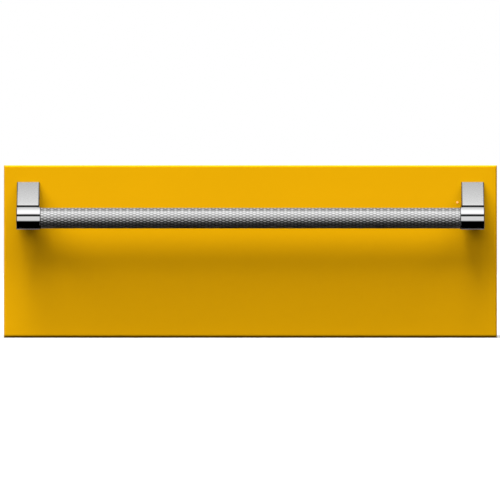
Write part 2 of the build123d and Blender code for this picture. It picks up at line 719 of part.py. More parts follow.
def handle_screw_places():
    """The centres of the four handle screws, in X and Z."""
    x = BRACKET_OUTSIDE - BRACKET_WIDTH / 2
    return [(side * x, HANDLE_LEVEL + height) for side in SIDES for height in HANDLE_SCREW_HEIGHTS]


def front_skin():
    """The enamelled drawer front: one sheet folded back on four sides, with lips behind."""
    skin = panel_block(0, PANEL_BACK) - panel_block(SKIN_SHEET, PANEL_BACK)
    half = PANEL_WIDTH / 2
    middle = PANEL_LOW + PANEL_HEIGHT / 2
    lips = Rectangle(2 * half, PANEL_HEIGHT)
    lips -= Rectangle(2 * (half - LIP), PANEL_HEIGHT - 2 * LIP)
    skin += along_y(Pos(0, middle) * lips, PANEL_BACK - SKIN_SHEET, PANEL_BACK)
    behind = PANEL_FRONT + SKIN_SHEET
    for x, z in handle_screw_places():
        skin -= rod_y(HANDLE_SCREW_RADIUS + PLAY, x, z, PANEL_FRONT, behind)
    skin -= rod_y(1.75, *INDICATOR_PLACE, PANEL_FRONT, behind)
    for x, z in LIP_SCREWS:
        skin -= rod_y(SCREW_RADIUS + PLAY, x, z, PANEL_BACK - SKIN_SHEET, PANEL_BACK)
    for place in range(-4, 5):
        vent = Pos(place * 60, -20) * SlotOverall(34, 5)
        skin -= along_z(vent, PANEL_LOW, PANEL_LOW + SKIN_SHEET)
    return skin


def inner_front_panel():
    """The front's inner sheet: a flange behind the skin's lips and a hollow plug for the mouth."""
    front = PANEL_BACK
    flange_back = front + PLUG_SHEET
    hollow = rounded(PLUG_HALF - PLUG_SHEET, PLUG_LOW + PLUG_SHEET, PLUG_HIGH - PLUG_SHEET,
                     MOUTH_CORNER - PLUG_SHEET)
    panel = along_y(rounded(PLATE_HALF, PLATE_LOW, PLATE_HIGH, 3), front, flange_back)
    panel += along_y(rounded(PLUG_HALF, PLUG_LOW, PLUG_HIGH, MOUTH_CORNER), flange_back, PLUG_BACK)
    panel -= along_y(hollow, front, PLUG_BACK - PLUG_SHEET)
    panel -= block((-HOUSING_HALF, HOUSING_HALF),
                   (STRIP_MIDDLE - HOUSING_HALF_DEPTH, STRIP_MIDDLE + HOUSING_HALF_DEPTH),
                   (PLUG_HIGH - 2, PLUG_HIGH))
    for x in vent_slots():
        panel -= vent_slot(x, PLUG_BACK - PLUG_SHEET, PLUG_BACK)
    for side in SIDES:
        for z in TAB_SCREW_Z:
            panel -= rod_y(SCREW_RADIUS + PLAY, side * TAB_SCREW_X, z, PLUG_BACK - 2, PLUG_BACK)
    for x, z in LIP_SCREWS:
        panel -= rod_y(SCREW_RADIUS + PLAY, x, z, front, flange_back)
    return panel


def front_insulation():
    """The pad between the skin and the inner panel, and on into the plug."""
    pad = block((-312, 312), (PANEL_FRONT + SKIN_SHEET, PANEL_BACK), (-2, 231))
    return pad + block((-312, 312), (PANEL_BACK, 5), (34, 168))


def front_gasket():
    """The woven seal that closes the gap to the face frame all round the mouth."""
    front = PANEL_BACK + PLUG_SHEET
    ring = rounded(346.5, 14.5, 215.5, 10) - rounded(337.5, 23.5, 206.5, 6)
    seal = along_y(ring, front, GASKET_BACK)
    return fillet(seal.faces().sort_by(Axis.Y)[-1].edges(), 1.4)


def bumpers():
    """Rubber buttons that meet the face frame when the drawer shuts."""
    front = PANEL_BACK + PLUG_SHEET
    return group(rod_y(5, side * 360, z, front, GASKET_BACK)
                 for side in SIDES for z in (12, 218))


# ---- the control strip ---------------------------------------------------------------------------------------
def strip_plate(half_width, half_depth, low, high, x=0.0, corner=1.5):
    """A rounded plate of the control strip."""
    outline = RectangleRounded(2 * half_width, 2 * half_depth, corner)
    return along_z(Pos(x, STRIP_MIDDLE) * outline, low, high)


def control_fascia():
    """The flush strip on the plug's top, open for six keys and the display."""
    fascia = strip_plate(FASCIA_WIDTH / 2, FASCIA_DEPTH / 2, PLUG_HIGH, FASCIA_HIGH, corner=4)
    fascia = chamfer(fascia.faces().sort_by(Axis.Z)[-1].edges(), 0.6)
    for x in KEY_PLACES.values():
        fascia -= strip_plate(KEY_WIDTH / 2 + 0.3, KEY_DEPTH / 2 + 0.3, PLUG_HIGH, FASCIA_HIGH, x)
    return fascia - strip_plate(WINDOW_HALF, WINDOW_HALF_DEPTH, PLUG_HIGH, FASCIA_HIGH)


def control_housing():
    """The open tray under the strip that holds the control board."""
    tray = strip_plate(HOUSING_HALF, HOUSING_HALF_DEPTH, HOUSING_LOW, PLUG_HIGH, corner=0.5)
    tray -= strip_plate(HOUSING_HALF - HOUSING_WALL, HOUSING_HALF_DEPTH - HOUSING_WALL,
                        HOUSING_LOW + HOUSING_WALL, PLUG_HIGH, corner=0.4)
    for x in (-168, -56, 56, 168):
        for y in (STRIP_MIDDLE - 9, STRIP_MIDDLE + 9):
            tray += rod_z(2.5, x, y, HOUSING_LOW + HOUSING_WALL, BOARD_LOW)
    return tray


def control_board():
    """The board with a switch under each key and the display module in the middle."""
    top = BOARD_LOW + BOARD_SHEET
    board = strip_plate(172, 12, BOARD_LOW, top)
    for x in KEY_PLACES.values():
        board += block((x - 3, x + 3), (STRIP_MIDDLE - 3, STRIP_MIDDLE + 3), (top, top + 2))
        board += rod_z(1.6, x, STRIP_MIDDLE, top + 2, top + 2.6)
    board += block((-32, 32), (STRIP_MIDDLE - 8, STRIP_MIDDLE + 8), (top, top + 9))
    return board


def display_window():
    """The tinted window over the display, held by a rim under the strip."""
    window = strip_plate(WINDOW_HALF, WINDOW_HALF_DEPTH, PLUG_HIGH, FASCIA_HIGH)
    return window + strip_plate(WINDOW_HALF + 2.5, WINDOW_HALF_DEPTH + 2.5, PLUG_HIGH - 1.2,
                                PLUG_HIGH)


def key(x):
    """A key cap with its retaining rim under the strip and its stem."""
    cap = strip_plate(KEY_WIDTH / 2, KEY_DEPTH / 2, PLUG_HIGH - 0.3, KEY_HIGH, x)
    cap = fillet(cap.faces().sort_by(Axis.Z)[-1].edges(), 0.5)
    cap += strip_plate(KEY_WIDTH / 2 + 2, KEY_DEPTH / 2 + 2, PLUG_HIGH - 1.8, PLUG_HIGH - 0.3, x)
    return cap + rod_z(2.5, x, STRIP_MIDDLE, BOARD_LOW + BOARD_SHEET + 3.8, PLUG_HIGH - 1.8)


# ---- the moisture vent -----------------------------------------------------------------------------------------
def vent_slots():
    """The X places of the slots in the plug's rear wall."""
    return [(place - (VENT_COUNT - 1) / 2) * VENT_PITCH for place in range(VENT_COUNT)]


def vent_slot(x, start, end):
    width, height = VENT_SLOT
    return block((x - width / 2, x + width / 2), (start, end),
                 (VENT_LEVEL - height / 2, VENT_LEVEL + height / 2))


def vent_slider():
    """The slotted plate that opens the vent when it is pushed to the right by its tab."""
    back = SLIDER_FRONT + SLIDER_SHEET
    slider = block((-SLIDER_HALF, SLIDER_HALF), (SLIDER_FRONT, back),
                   (VENT_LEVEL - SLIDER_HALF_HEIGHT, VENT_LEVEL + SLIDER_HALF_HEIGHT))
    for x in vent_slots():
        slider -= vent_slot(x - VENT_TRAVEL, SLIDER_FRONT, back)
    tab = along_z(Pos(115, back + 3.5) * RectangleRounded(20, 9, 3), VENT_LEVEL - 0.6,
                  VENT_LEVEL + 0.6)
    tab -= block((90, 140), (back - 5, back), (VENT_LEVEL - 2, VENT_LEVEL + 2))
    return slider + tab


def vent_guides():
    """The frame that holds the slider against the plug, with an end stop each side."""
    back = SLIDER_FRONT + SLIDER_SHEET
    outer_back = back + 1.3
    stop = 0.3
    left = -SLIDER_HALF - stop
    right = SLIDER_HALF + VENT_TRAVEL + stop
    edge = SLIDER_HALF_HEIGHT + stop
    guide = block((left - 4, right + 4), (PLUG_BACK, outer_back),
                  (VENT_LEVEL - edge - 2.4, VENT_LEVEL + edge + 2.4))
    guide -= block((left, right), (PLUG_BACK, back + stop), (VENT_LEVEL - edge, VENT_LEVEL + edge))
    lip = SLIDER_HALF_HEIGHT - 2
    return guide - block((left, right), (PLUG_BACK, outer_back), (VENT_LEVEL - lip, VENT_LEVEL + lip))


# ---- the indicator light ------------------------------------------------------------------------------------------
def indicator_light():
    """The small lens in the front, with its flange and lamp behind the skin."""
    x, z = INDICATOR_PLACE
    behind = PANEL_FRONT + SKIN_SHEET
    lens = rod_y(1.7, x, z, PANEL_FRONT - 0.5, behind)
    lens = fillet(lens.faces().sort_by(Axis.Y)[0].edges(), 0.45)
    return lens + rod_y(3.0, x, z, behind, behind + 1.2) + rod_y(2.4, x, z, behind + 1.2, behind + 8)


def indicator_holder():
    """The clip that holds the lens against the back of the skin."""
    x, z = INDICATOR_PLACE
    behind = PANEL_FRONT + SKIN_SHEET
    holder = rod_y(5.5, x, z, behind, behind + 7)
    holder -= rod_y(3.0, x, z, behind, behind + 1.2)
    return holder - rod_y(2.4, x, z, behind, behind + 7)


# ---- the handle ------------------------------------------------------------------------------------------------------
def from_panel(reach, height):
    """A point of the handle's section in (Y, Z), from its reach and its height over the axis."""
    return (PANEL_FRONT - reach, HANDLE_LEVEL + height)


def bracket_section():
    """The bracket's arm: a crowned slope ending in a lip, undercut around the ferrule."""
    lip = from_panel(*SLOPE_END)
    under_front = from_panel(HANDLE_REACH - 8, -15.2)
    top = from_panel(0, BRACKET_TOP)
    foot = from_panel(0, 4)
    boundary = [
        ThreePointArc(top, from_panel(*SLOPE_MIDDLE), lip),
        Line(lip, from_panel(HANDLE_REACH, 0)),
        Line(from_panel(HANDLE_REACH, 0), under_front),
        ThreePointArc(under_front, from_panel(27, -8.5), foot),
        Line(foot, top),
    ]
    arm = make_face(Wire([edge for line in boundary for edge in line.edges()]))
    axis = Pos(*from_panel(HANDLE_REACH, 0))
    lip_radius = ((HANDLE_REACH - SLOPE_END[0]) ** 2 + SLOPE_END[1] ** 2) ** 0.5
    shadow_gap = axis * Circle(lip_radius) - axis * Circle(FERRULE_RADIUS)
    above_neck = Pos(*from_panel(HANDLE_REACH, 20)) * Rectangle(60, 30)
    return arm - (shadow_gap & above_neck)


def handle_bracket():
    """The right bracket: the arm, and the ferrule with its blind socket for the bar."""
    outside = BRACKET_OUTSIDE
    axis = from_panel(HANDLE_REACH, 0)
    arm = along_x(bracket_section(), outside - BRACKET_WIDTH, outside)
    ferrule = rod_x(FERRULE_RADIUS, *axis, outside - FERRULE_LENGTH, outside)
    ends = ferrule.faces().filter_by(Axis.X)
    ferrule = chamfer(ends.edges(), FERRULE_EDGE)
    bracket = arm + ferrule
    bracket -= rod_x(BAR_RADIUS, *axis, outside - FERRULE_LENGTH, BAR_HALF)
    x = outside - BRACKET_WIDTH / 2
    for height in HANDLE_SCREW_HEIGHTS:
        bracket -= rod_y(HANDLE_SCREW_RADIUS, x, HANDLE_LEVEL + height, PANEL_FRONT - 9,
                         PANEL_FRONT)
    return bracket - rod_z(2.0, x, axis[0], HANDLE_LEVEL - 20, HANDLE_LEVEL - BAR_RADIUS + 1)


def handle_bar():
    """The tube between the brackets, its ends in their sockets."""
    axis = from_panel(HANDLE_REACH, 0)
    tube = rod_x(BAR_RADIUS, *axis, -BAR_HALF, BAR_HALF)
    return tube - rod_x(BAR_RADIUS - BAR_WALL, *axis, -BAR_HALF, BAR_HALF)


def handle_backing_plates():
    """Steel plates behind the skin that spread the pull of the handle screws."""
    front = PANEL_FRONT + SKIN_SHEET
    plates = []
    for side in SIDES:
        x = side * (BRACKET_OUTSIDE - BRACKET_WIDTH / 2)
        z = HANDLE_LEVEL + sum(HANDLE_SCREW_HEIGHTS) / 2
        plate = along_y(Pos(x, z) * RectangleRounded(28, 44, 4), front, front + 3)
        for height in HANDLE_SCREW_HEIGHTS:
            plate -= rod_y(HANDLE_SCREW_RADIUS + PLAY, x, HANDLE_LEVEL + height, front, front + 3)
        plates.append(plate)
    return group(plates)


def handle_screws():
    """Two screws from inside for each bracket, and the grub screw under each ferrule."""
    seat = PANEL_FRONT + SKIN_SHEET + 3
    screws = [screw_y(x, z, seat, PANEL_FRONT - 8.5, HANDLE_SCREW_RADIUS, 5.0, 4.0)
              for x, z in handle_screw_places()]
    for side in SIDES:
        x = side * (BRACKET_OUTSIDE - BRACKET_WIDTH / 2)
        axis = from_panel(HANDLE_REACH, 0)
        screws.append(rod_z(2.0, x, axis[0], HANDLE_LEVEL - FERRULE_RADIUS + 0.3,
                            HANDLE_LEVEL - BAR_RADIUS))
    return group(screws)


# ---- all the pieces ----------------------------------------------------------------------------------------------------
def all_pieces():
    """Every piece by its name."""
    pieces = {
        "outer_case": outer_case(),
        "case_top_cover": case_top_cover(),
        "case_back_panel": case_back_panel(),
        "face_frame": face_frame(),
        "face_frame_screws": face_frame_screws(),
        "case_screws": case_screws(),
        "anti_tip_bracket": anti_tip_bracket(),
        "cavity_liner": cavity_liner(),
        "insulation_wrap": insulation_wrap(),
        "insulation_floor": insulation_floor(),
        "insulation_rear": insulation_rear(),
        "rear_bulkhead": rear_bulkhead(),
        "heating_element": heating_element(),
        "element_supports": element_supports(),
        "element_bushings": element_bushings(),
        "temperature_probe": temperature_probe(),
        "thermal_cutout": thermal_cutout(),
        "power_board": power_board(),
        "terminal_block": terminal_block(),
        "cord_bushing": cord_bushing(),
        "ball_cages_outer": ball_cages_outer(),
        "ball_cages_inner": ball_cages_inner(),
        "slide_rivets": slide_rivets(),
        "drawer_back": drawer_back(),
        "drawer_front_rail": drawer_front_rail(),
        "drawer_pan": drawer_pan(),
        "drawer_fixings": drawer_fixings(),
        "front_skin": front_skin(),
        "inner_front_panel": inner_front_panel(),
        "front_insulation": front_insulation(),
        "front_gasket": front_gasket(),
        "bumpers": bumpers(),
        "control_fascia": control_fascia(),
        "control_housing": control_housing(),
        "control_board": control_board(),
        "display_window": display_window(),
        "vent_slider": vent_slider(),
        "vent_guides": vent_guides(),
        "indicator_light": indicator_light(),
        "indicator_holder": indicator_holder(),
        "handle_bar": handle_bar(),
        "handle_backing_plates": handle_backing_plates(),
        "handle_screws": handle_screws(),
    }
    for name, x in KEY_PLACES.items():
        pieces[name] = key(x)
    handed = {
        "slide_outer": slide_outer(),
        "slide_middle": slide_middle(),
        "slide_inner": slide_inner(),
        "drawer_side": drawer_side(),
        "handle_bracket": handle_bracket(),
    }
    for name, piece in handed.items():
        pieces[name + "_right"] = piece
        pieces[name + "_left"] = mirrored(piece)
    return pieces


os.makedirs("parts", exist_ok=True)
for node, piece in all_pieces().items():
    export_step(piece, os.path.join("parts", node + ".step"))
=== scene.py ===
import math

import bmesh
import bpy
from mathutils import Matrix, Vector


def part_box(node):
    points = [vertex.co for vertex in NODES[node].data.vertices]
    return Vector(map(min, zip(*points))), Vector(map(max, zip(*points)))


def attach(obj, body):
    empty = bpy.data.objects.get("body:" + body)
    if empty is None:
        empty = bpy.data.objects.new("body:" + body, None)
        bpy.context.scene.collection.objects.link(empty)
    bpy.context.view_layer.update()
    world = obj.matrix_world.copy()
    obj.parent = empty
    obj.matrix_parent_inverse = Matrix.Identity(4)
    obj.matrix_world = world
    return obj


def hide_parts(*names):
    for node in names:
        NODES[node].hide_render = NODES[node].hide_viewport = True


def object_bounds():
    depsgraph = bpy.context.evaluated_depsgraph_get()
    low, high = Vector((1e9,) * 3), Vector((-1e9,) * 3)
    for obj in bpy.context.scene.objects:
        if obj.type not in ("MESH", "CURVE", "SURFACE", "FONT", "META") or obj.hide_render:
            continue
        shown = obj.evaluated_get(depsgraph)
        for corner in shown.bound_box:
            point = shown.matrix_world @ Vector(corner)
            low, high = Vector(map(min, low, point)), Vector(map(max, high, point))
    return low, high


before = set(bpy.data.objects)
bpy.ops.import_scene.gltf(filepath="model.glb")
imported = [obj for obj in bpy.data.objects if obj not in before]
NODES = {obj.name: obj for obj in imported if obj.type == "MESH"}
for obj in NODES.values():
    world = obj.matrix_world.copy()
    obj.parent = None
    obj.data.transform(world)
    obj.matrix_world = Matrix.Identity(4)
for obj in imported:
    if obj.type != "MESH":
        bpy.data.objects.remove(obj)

# Built-in warming drawer: finishes, the knurled handle bar, fasteners and the studio.
# Metres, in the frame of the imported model: X to the right, Y back into the cabinet, Z up.

CAD_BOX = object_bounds()

bl_info = {
    "name": "Warming Drawer",
    "version": (1, 0, 0),
    "blender": (4, 5, 0),
    "location": "View3D > Sidebar > Warming Drawer",
    "description": "Dresses a built-in warming drawer and sets its studio",
    "category": "Object",
}

MM = 0.001
BOARD = 1.6 * MM                      # thickness of the laminate
PRINT = 0.04 * MM                     # thickness of the marks on the control strip


# ---- sizes and colours that a user would change ----
class DRAWER_PG_enamel(bpy.types.PropertyGroup):
    colour: bpy.props.FloatVectorProperty(
        name="Enamel", description="Colour of the drawer front", subtype="COLOR",
        size=3, min=0.0, max=1.0, default=(0.835, 0.418, 0.001))
    roughness: bpy.props.FloatProperty(
        name="Roughness", description="Roughness of the enamel", min=0.0, max=1.0, default=0.42,
        subtype="FACTOR")


class DRAWER_PG_bar(bpy.types.PropertyGroup):
    rows_around: bpy.props.IntProperty(
        name="Rows around", description="Diamonds in one turn of the bar", default=22, min=6)
    pitch: bpy.props.FloatProperty(
        name="Pitch", description="Length of a diamond along the bar", default=10.536 * MM,
        unit="LENGTH")
    depth: bpy.props.FloatProperty(
        name="Depth", description="Depth of the grooves between the diamonds",
        default=0.45 * MM, unit="LENGTH")


class DRAWER_PG_studio(bpy.types.PropertyGroup):
    lens: bpy.props.FloatProperty(
        name="Lens", description="Focal length of the camera in millimetres", default=1000.0)
    camera_distance: bpy.props.FloatProperty(
        name="Camera distance", description="From the drawer front to the camera",
        default=21.381, unit="LENGTH")
    light_level: bpy.props.FloatProperty(
        name="Light level", description="Brightness of all lights", default=1.0, min=0.0)
    light_turn: bpy.props.FloatProperty(
        name="Light turn", description="Turns all lights further to the left", default=0.0,
        subtype="ANGLE")


def settings():
    """The three groups of settings on the scene."""
    scene = bpy.context.scene
    return scene.drawer_enamel, scene.drawer_bar, scene.drawer_studio


# ---- materials ----
def arithmetic(tree, operation, first, second=0.0):
    """A Math node between two numbers or outputs."""
    made = tree.nodes.new("ShaderNodeMath")
    made.operation = operation
    for socket, value in zip(made.inputs, (first, second)):
        if isinstance(value, (int, float)):
            socket.default_value = value
        else:
            tree.links.new(value, socket)
    return made.outputs[0]


def remapped(tree, value, low, high, start, end):
    """A value remapped from start..end to low..high, and held at both ends."""
    made = tree.nodes.new("ShaderNodeMapRange")
    tree.links.new(value, made.inputs["Value"])
    for socket, number in zip(("From Min", "From Max", "To Min", "To Max"), (start, end, low, high)):
        made.inputs[socket].default_value = number
    return made.outputs["Result"]


class Finish:
    """A procedural material in the making, read from Object coordinates."""

    def __init__(self, name, colour, roughness, metallic=0.0, specular=0.5):
        self.material = bpy.data.materials.new(name)
        self.material.use_nodes = True
        self.tree = self.material.node_tree
        self.shader = self.tree.nodes["Principled BSDF"]
        self.colour = tuple(colour)
        self.set("Base Color", (*self.colour, 1.0))
        self.set("Roughness", roughness)
        self.set("Metallic", metallic)
        self.set("Specular IOR Level", specular)
        self.place = self.node("ShaderNodeTexCoord").outputs["Object"]
        self.height = None

    def set(self, socket, value):
        self.shader.inputs[socket].default_value = value

    def node(self, kind, **options):
        made = self.tree.nodes.new(kind)
        for option, value in options.items():
            setattr(made, option, value)
        return made

    def link(self, output, target):
        self.tree.links.new(output, target)

    def stretched(self, scale):
        """Object coordinates times a scale for each axis."""
        mapping = self.node("ShaderNodeMapping")
        self.link(self.place, mapping.inputs["Vector"])
        mapping.inputs["Scale"].default_value = scale
        return mapping.outputs["Vector"]

    def noise(self, scale, detail=3.0, place=None):
        texture = self.node("ShaderNodeTexNoise")
        self.link(place or self.place, texture.inputs["Vector"])
        texture.inputs["Scale"].default_value = scale
        texture.inputs["Detail"].default_value = detail
        return texture.outputs["Fac"]

    def cells(self, scale):
        texture = self.node("ShaderNodeTexVoronoi")
        self.link(self.place, texture.inputs["Vector"])
        texture.inputs["Scale"].default_value = scale
        return texture

    def math(self, operation, first, second=0.0):
        return arithmetic(self.tree, operation, first, second)

    def within(self, value, low, high):
        """One where a value is between two others, and nothing elsewhere."""
        return self.math("MULTIPLY", self.math("GREATER_THAN", value, low),
                         self.math("LESS_THAN", value, high))

    def distance(self, names, centre):
        """How far a place is from a line along the third axis."""
        offs = [self.math("SUBTRACT", self.axis(name), value) for name, value in zip(names, centre)]
        return self.math("SQRT", self.math("ADD", *[self.math("MULTIPLY", off, off) for off in offs]))

    def spread(self, value, low, high, start=0.3, end=0.7):
        """A value remapped from start..end to low..high."""
        return remapped(self.tree, value, low, high, start, end)

    def blend(self, share, first, second):
        """A colour between two colours."""
        made = self.node("ShaderNodeMix", data_type="RGBA")
        self.link(share, made.inputs["Factor"])
        for index, colour in ((6, first), (7, second)):
            if isinstance(colour, (tuple, list)):
                made.inputs[index].default_value = (*colour[:3], 1.0)
            else:
                self.link(colour, made.inputs[index])
        return made.outputs[2]

    def vary(self, share, change):
        """Lets the base colour drift by a share of itself."""
        low = [c * (1 - change) for c in self.colour]
        high = [min(1.0, c * (1 + change)) for c in self.colour]
        self.link(self.blend(share, low, high), self.shader.inputs["Base Color"])

    def bump(self, height, strength, distance):
        """Adds relief, over the relief that is already there."""
        made = self.node("ShaderNodeBump")
        made.inputs["Strength"].default_value = strength
        made.inputs["Distance"].default_value = distance
        self.link(height, made.inputs["Height"])
        if self.height is not None:
            self.link(self.height, made.inputs["Normal"])
        self.height = made.outputs["Normal"]
        self.link(self.height, self.shader.inputs["Normal"])

    def axis(self, name):
        """One of the object coordinates."""
        split = self.node("ShaderNodeSeparateXYZ")
        self.link(self.place, split.inputs[0])
        return split.outputs[name]

    def feed(self, output, socket):
        self.link(output, self.shader.inputs[socket])


RIM_SHADE_SPAN = (0.6 * MM, 2.6 * MM)      # in from the panel's side and top edges, where painted shade darkens the rims
BOTTOM_SHADE_SPAN = (1.9 * MM, 5.2 * MM)      # up from its bottom edge, where deep painted shade lies


def enamel(colour, roughness):
    """Baked enamel: even, with a little painted shade on its side and top rims and deep painted shade
    along its bottom edge.
    """
    made = Finish("yellow_enamel", colour, roughness, specular=0.10)
    low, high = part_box("front_skin")
    drift = made.spread(made.noise(6.0, 2.0), 0.0, 1.0)
    even = made.blend(drift, [c * 0.99 for c in colour], [c * 1.01 for c in colour])
    off_middle = made.math("ABSOLUTE", made.math("SUBTRACT", made.axis("X"), (low.x + high.x) / 2))
    from_side = made.math("SUBTRACT", (high.x - low.x) / 2, off_middle)
    from_top = made.math("SUBTRACT", high.z, made.axis("Z"))
    from_bottom = made.math("SUBTRACT", made.axis("Z"), low.z)
    # Painted shade: the side and top rims are darkened a little to tone down the light they catch.
    thin = made.spread(made.math("MINIMUM", from_side, from_top), 1.0, 0.0, *RIM_SHADE_SPAN)
    # Painted shade: the band along the bottom edge is made dark, as if the downward rim got no light.
    bottom_shade = made.spread(from_bottom, 1.0, 0.0, *BOTTOM_SHADE_SPAN)
    edged = made.blend(thin, even, [c * 0.86 for c in colour])
    made.feed(made.blend(bottom_shade, edged, [c * 0.28 for c in colour]), "Base Color")
    made.feed(made.spread(made.noise(40.0, 4.0), roughness - 0.03, roughness + 0.03), "Roughness")
    made.bump(made.noise(650.0, 2.0), 0.05, 0.00012)
    return made.material


# Measured from the bar's axis, or along X.
FERRULE_RADIUS = 17.3 * MM
SLOT_RADIUS = 25.75 * MM              # the slot over each ferrule, painted black as shade
SLOT_FLOOR = 4.9 * MM
SHADED_SLOPE = (20 * MM, 54 * MM)            # the height of the arm's sloping face, over which painted shade darkens the satin towards the top
ARM_WIDTH = 34.4 * MM
RIM_SHADE = 1.1 * MM                        # width of the painted shade along the edges of the bright faces
SIDE = 0.02 * MM                      # what counts as the flat side and stays bright


def polished_bracket(axis_y, axis_z):
    """Polished ferrule and satin arm, with painted shade in the slot, on the arm's slope and along the
    rims, told apart by their place.
    """
    made = Finish("bright_steel", (0.86, 0.86, 0.865), 0.05, metallic=1.0)
    away = made.distance("YZ", (axis_y, axis_z))
    off_z = made.math("SUBTRACT", made.axis("Z"), axis_z)
    arm = made.math("GREATER_THAN", away, FERRULE_RADIUS + 0.2 * MM)
    slot = made.math("MULTIPLY", made.math("LESS_THAN", away, SLOT_RADIUS),
                     made.math("GREATER_THAN", off_z, SLOT_FLOOR))
    crest = made.math("GREATER_THAN", off_z, FERRULE_RADIUS - 0.5 * MM)
    # Painted shade: the slot's walls and the ferrule's crest under the slot are made black.
    gap = made.math("MULTIPLY", slot, made.math("MAXIMUM", arm, crest))
    grain = made.noise(90.0, 3.0, made.stretched((2.0, 22.0, 22.0)))
    satin = made.spread(grain, 0.20, 0.27)
    rough = made.math("ADD", made.math("MULTIPLY", arm, satin), 0.045)
    made.feed(rough, "Roughness")
    # Painted shade: the satin arm is darker towards the top of its sloping face and lighter towards the
    # bottom.
    slope_shade = made.spread(off_z, 0.70, 0.60, *SHADED_SLOPE)
    shaded_satin = made.node("ShaderNodeCombineColor")
    for channel in shaded_satin.inputs[:3]:
        made.link(slope_shade, channel)
    metal = made.blend(arm, (0.90, 0.90, 0.905), shaded_satin.outputs[0])
    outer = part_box("handle_bracket_right")[1].x
    inner = outer - ARM_WIDTH
    across = made.math("ABSOLUTE", made.axis("X"))
    # Painted shade: a dark line along the outer and inner edges of the bracket's bright faces.
    arm_rim_shade = made.math("MULTIPLY", arm, made.within(across, inner + SIDE, inner + RIM_SHADE))
    rim = made.math("MAXIMUM", made.within(across, outer - RIM_SHADE, outer - SIDE), arm_rim_shade)
    metal = made.blend(rim, metal, (0.045, 0.045, 0.045))
    made.feed(made.blend(gap, metal, (0.01, 0.01, 0.01)), "Base Color")
    made.bump(made.math("MULTIPLY", grain, arm), 0.04, 0.00005)
    return made.material


KNURL_TURN = 0.07            # radians, how far the rows are turned up from the middle
KNURL_SHIFT = -1.7 * MM      # how far they are moved along the bar
DASH_LEVEL = 0.91            # of the row of dark crossings painted as shade near the top, as a share of the bar's height

# Painted light and shade on the knurl: tones of its crowns and grooves, by height over the bar's axis
# as a share of its radius.
CROWN_LIGHT = ((-1.0, 1.0), (-0.6, 1.0), (-0.5, 0.80), (-0.40, 0.72), (-0.30, 0.93), (-0.08, 0.97),
          (0.1, 0.96), (0.2, 0.88), (0.5, 0.86), (0.62, 0.82), (0.7, 0.76), (0.8, 0.88), (1.0, 0.70))
GROOVE_SHADE = ((-1.0, 0.90), (-0.7, 0.45), (-0.5, 0.16), (-0.12, 0.14), (0.03, 0.29), (0.12, 0.46),
           (0.36, 0.46), (0.46, 0.40), (0.62, 0.34), (0.7, 0.08), (0.8, 0.04), (1.0, 0.06))


def knurled_steel(axis_y, axis_z, radius, bar):
    """Painted highlights on the crowns and painted shade in the grooves, graded by height, and a row of
    painted dark crossings near the top of the bar.
    """
    made = Finish("knurled_steel", (0.74, 0.74, 0.75), 0.4, metallic=0.93)
    raised = made.spread(made.distance("YZ", (axis_y, axis_z)), 0.0, 1.0,
                         radius - 0.8 * bar.depth, radius - 0.15 * bar.depth)
    level = made.spread(made.axis("Z"), 0.0, 1.0, axis_z - radius, axis_z + radius)
    # Painted light and shade: the crown and groove tones change with height, for the bright and dark
    # rows of the lit bar.
    painted_tones = []
    for stops in (GROOVE_SHADE, CROWN_LIGHT):
        ramp = made.node("ShaderNodeValToRGB")
        made.link(level, ramp.inputs["Fac"])
        ramp_stops(ramp, [((height + 1) / 2, tone) for height, tone in stops])
        painted_tones.append(ramp.outputs["Color"])
    # Painted shade: dark crossings along one row near the top of the bar.
    along = made.math("SUBTRACT", made.axis("X"), KNURL_SHIFT - bar.pitch / 4)
    crossing = made.math("COSINE", made.math("MULTIPLY", along, math.tau / bar.pitch))
    off_row = made.math("ABSOLUTE", made.math("SUBTRACT", level, DASH_LEVEL))
    dash_shade = made.math("MULTIPLY", made.spread(crossing, 0.0, 0.9, 0.2, 0.95),
                     made.spread(off_row, 1.0, 0.0, 0.012, 0.04))
    made.feed(made.blend(dash_shade, made.blend(raised, *painted_tones), (0.08, 0.08, 0.08)), "Base Color")
    made.feed(made.spread(level, 0.93, 0.74, 0.44, 0.56), "Metallic")
    made.feed(made.spread(raised, 0.46, 0.34, 0.0, 1.0), "Roughness")
    made.bump(made.noise(2600.0, 2.0), 0.05, 0.00004)
    return made.material


def brushed(name, colour, roughness, grain):
    """Sheet steel with a brushed grain along one axis."""
    made = Finish(name, colour, roughness, metallic=0.80)
    scale = [26.0, 26.0, 26.0]
    scale["XYZ".index(grain)] = 0.5
    lines = made.noise(60.0, 4.0, made.stretched(scale))
    cloud = made.noise(7.0, 2.0)
    made.vary(made.math("MULTIPLY", made.spread(lines, 0.0, 1.0), made.spread(cloud, 0.6, 1.0)), 0.07)
    made.feed(made.spread(lines, roughness - 0.07, roughness + 0.08), "Roughness")
    made.bump(lines, 0.10, 0.00006)
    return made.material


def galvanised():
    """Hot-dip zinc with its spangle."""
    made = Finish("galvanised", (0.59, 0.60, 0.61), 0.42, metallic=0.78)
    spangle = made.cells(75.0)
    share = made.node("ShaderNodeSeparateColor")
    made.link(spangle.outputs["Color"], share.inputs[0])
    made.vary(share.outputs[0], 0.10)
    made.feed(made.spread(share.outputs[1], 0.33, 0.52, 0.0, 1.0), "Roughness")
    made.bump(made.noise(240.0, 3.0), 0.06, 0.0001)
    return made.material


def plated(name, colour, roughness):
    """Zinc or nickel plating on small steel parts."""
    made = Finish(name, colour, roughness, metallic=0.85)
    made.vary(made.spread(made.noise(180.0, 4.0), 0.0, 1.0), 0.10)
    made.feed(made.spread(made.noise(420.0, 3.0), roughness - 0.06, roughness + 0.10), "Roughness")
    made.bump(made.noise(1500.0, 2.0), 0.06, 0.00003)
    return made.material


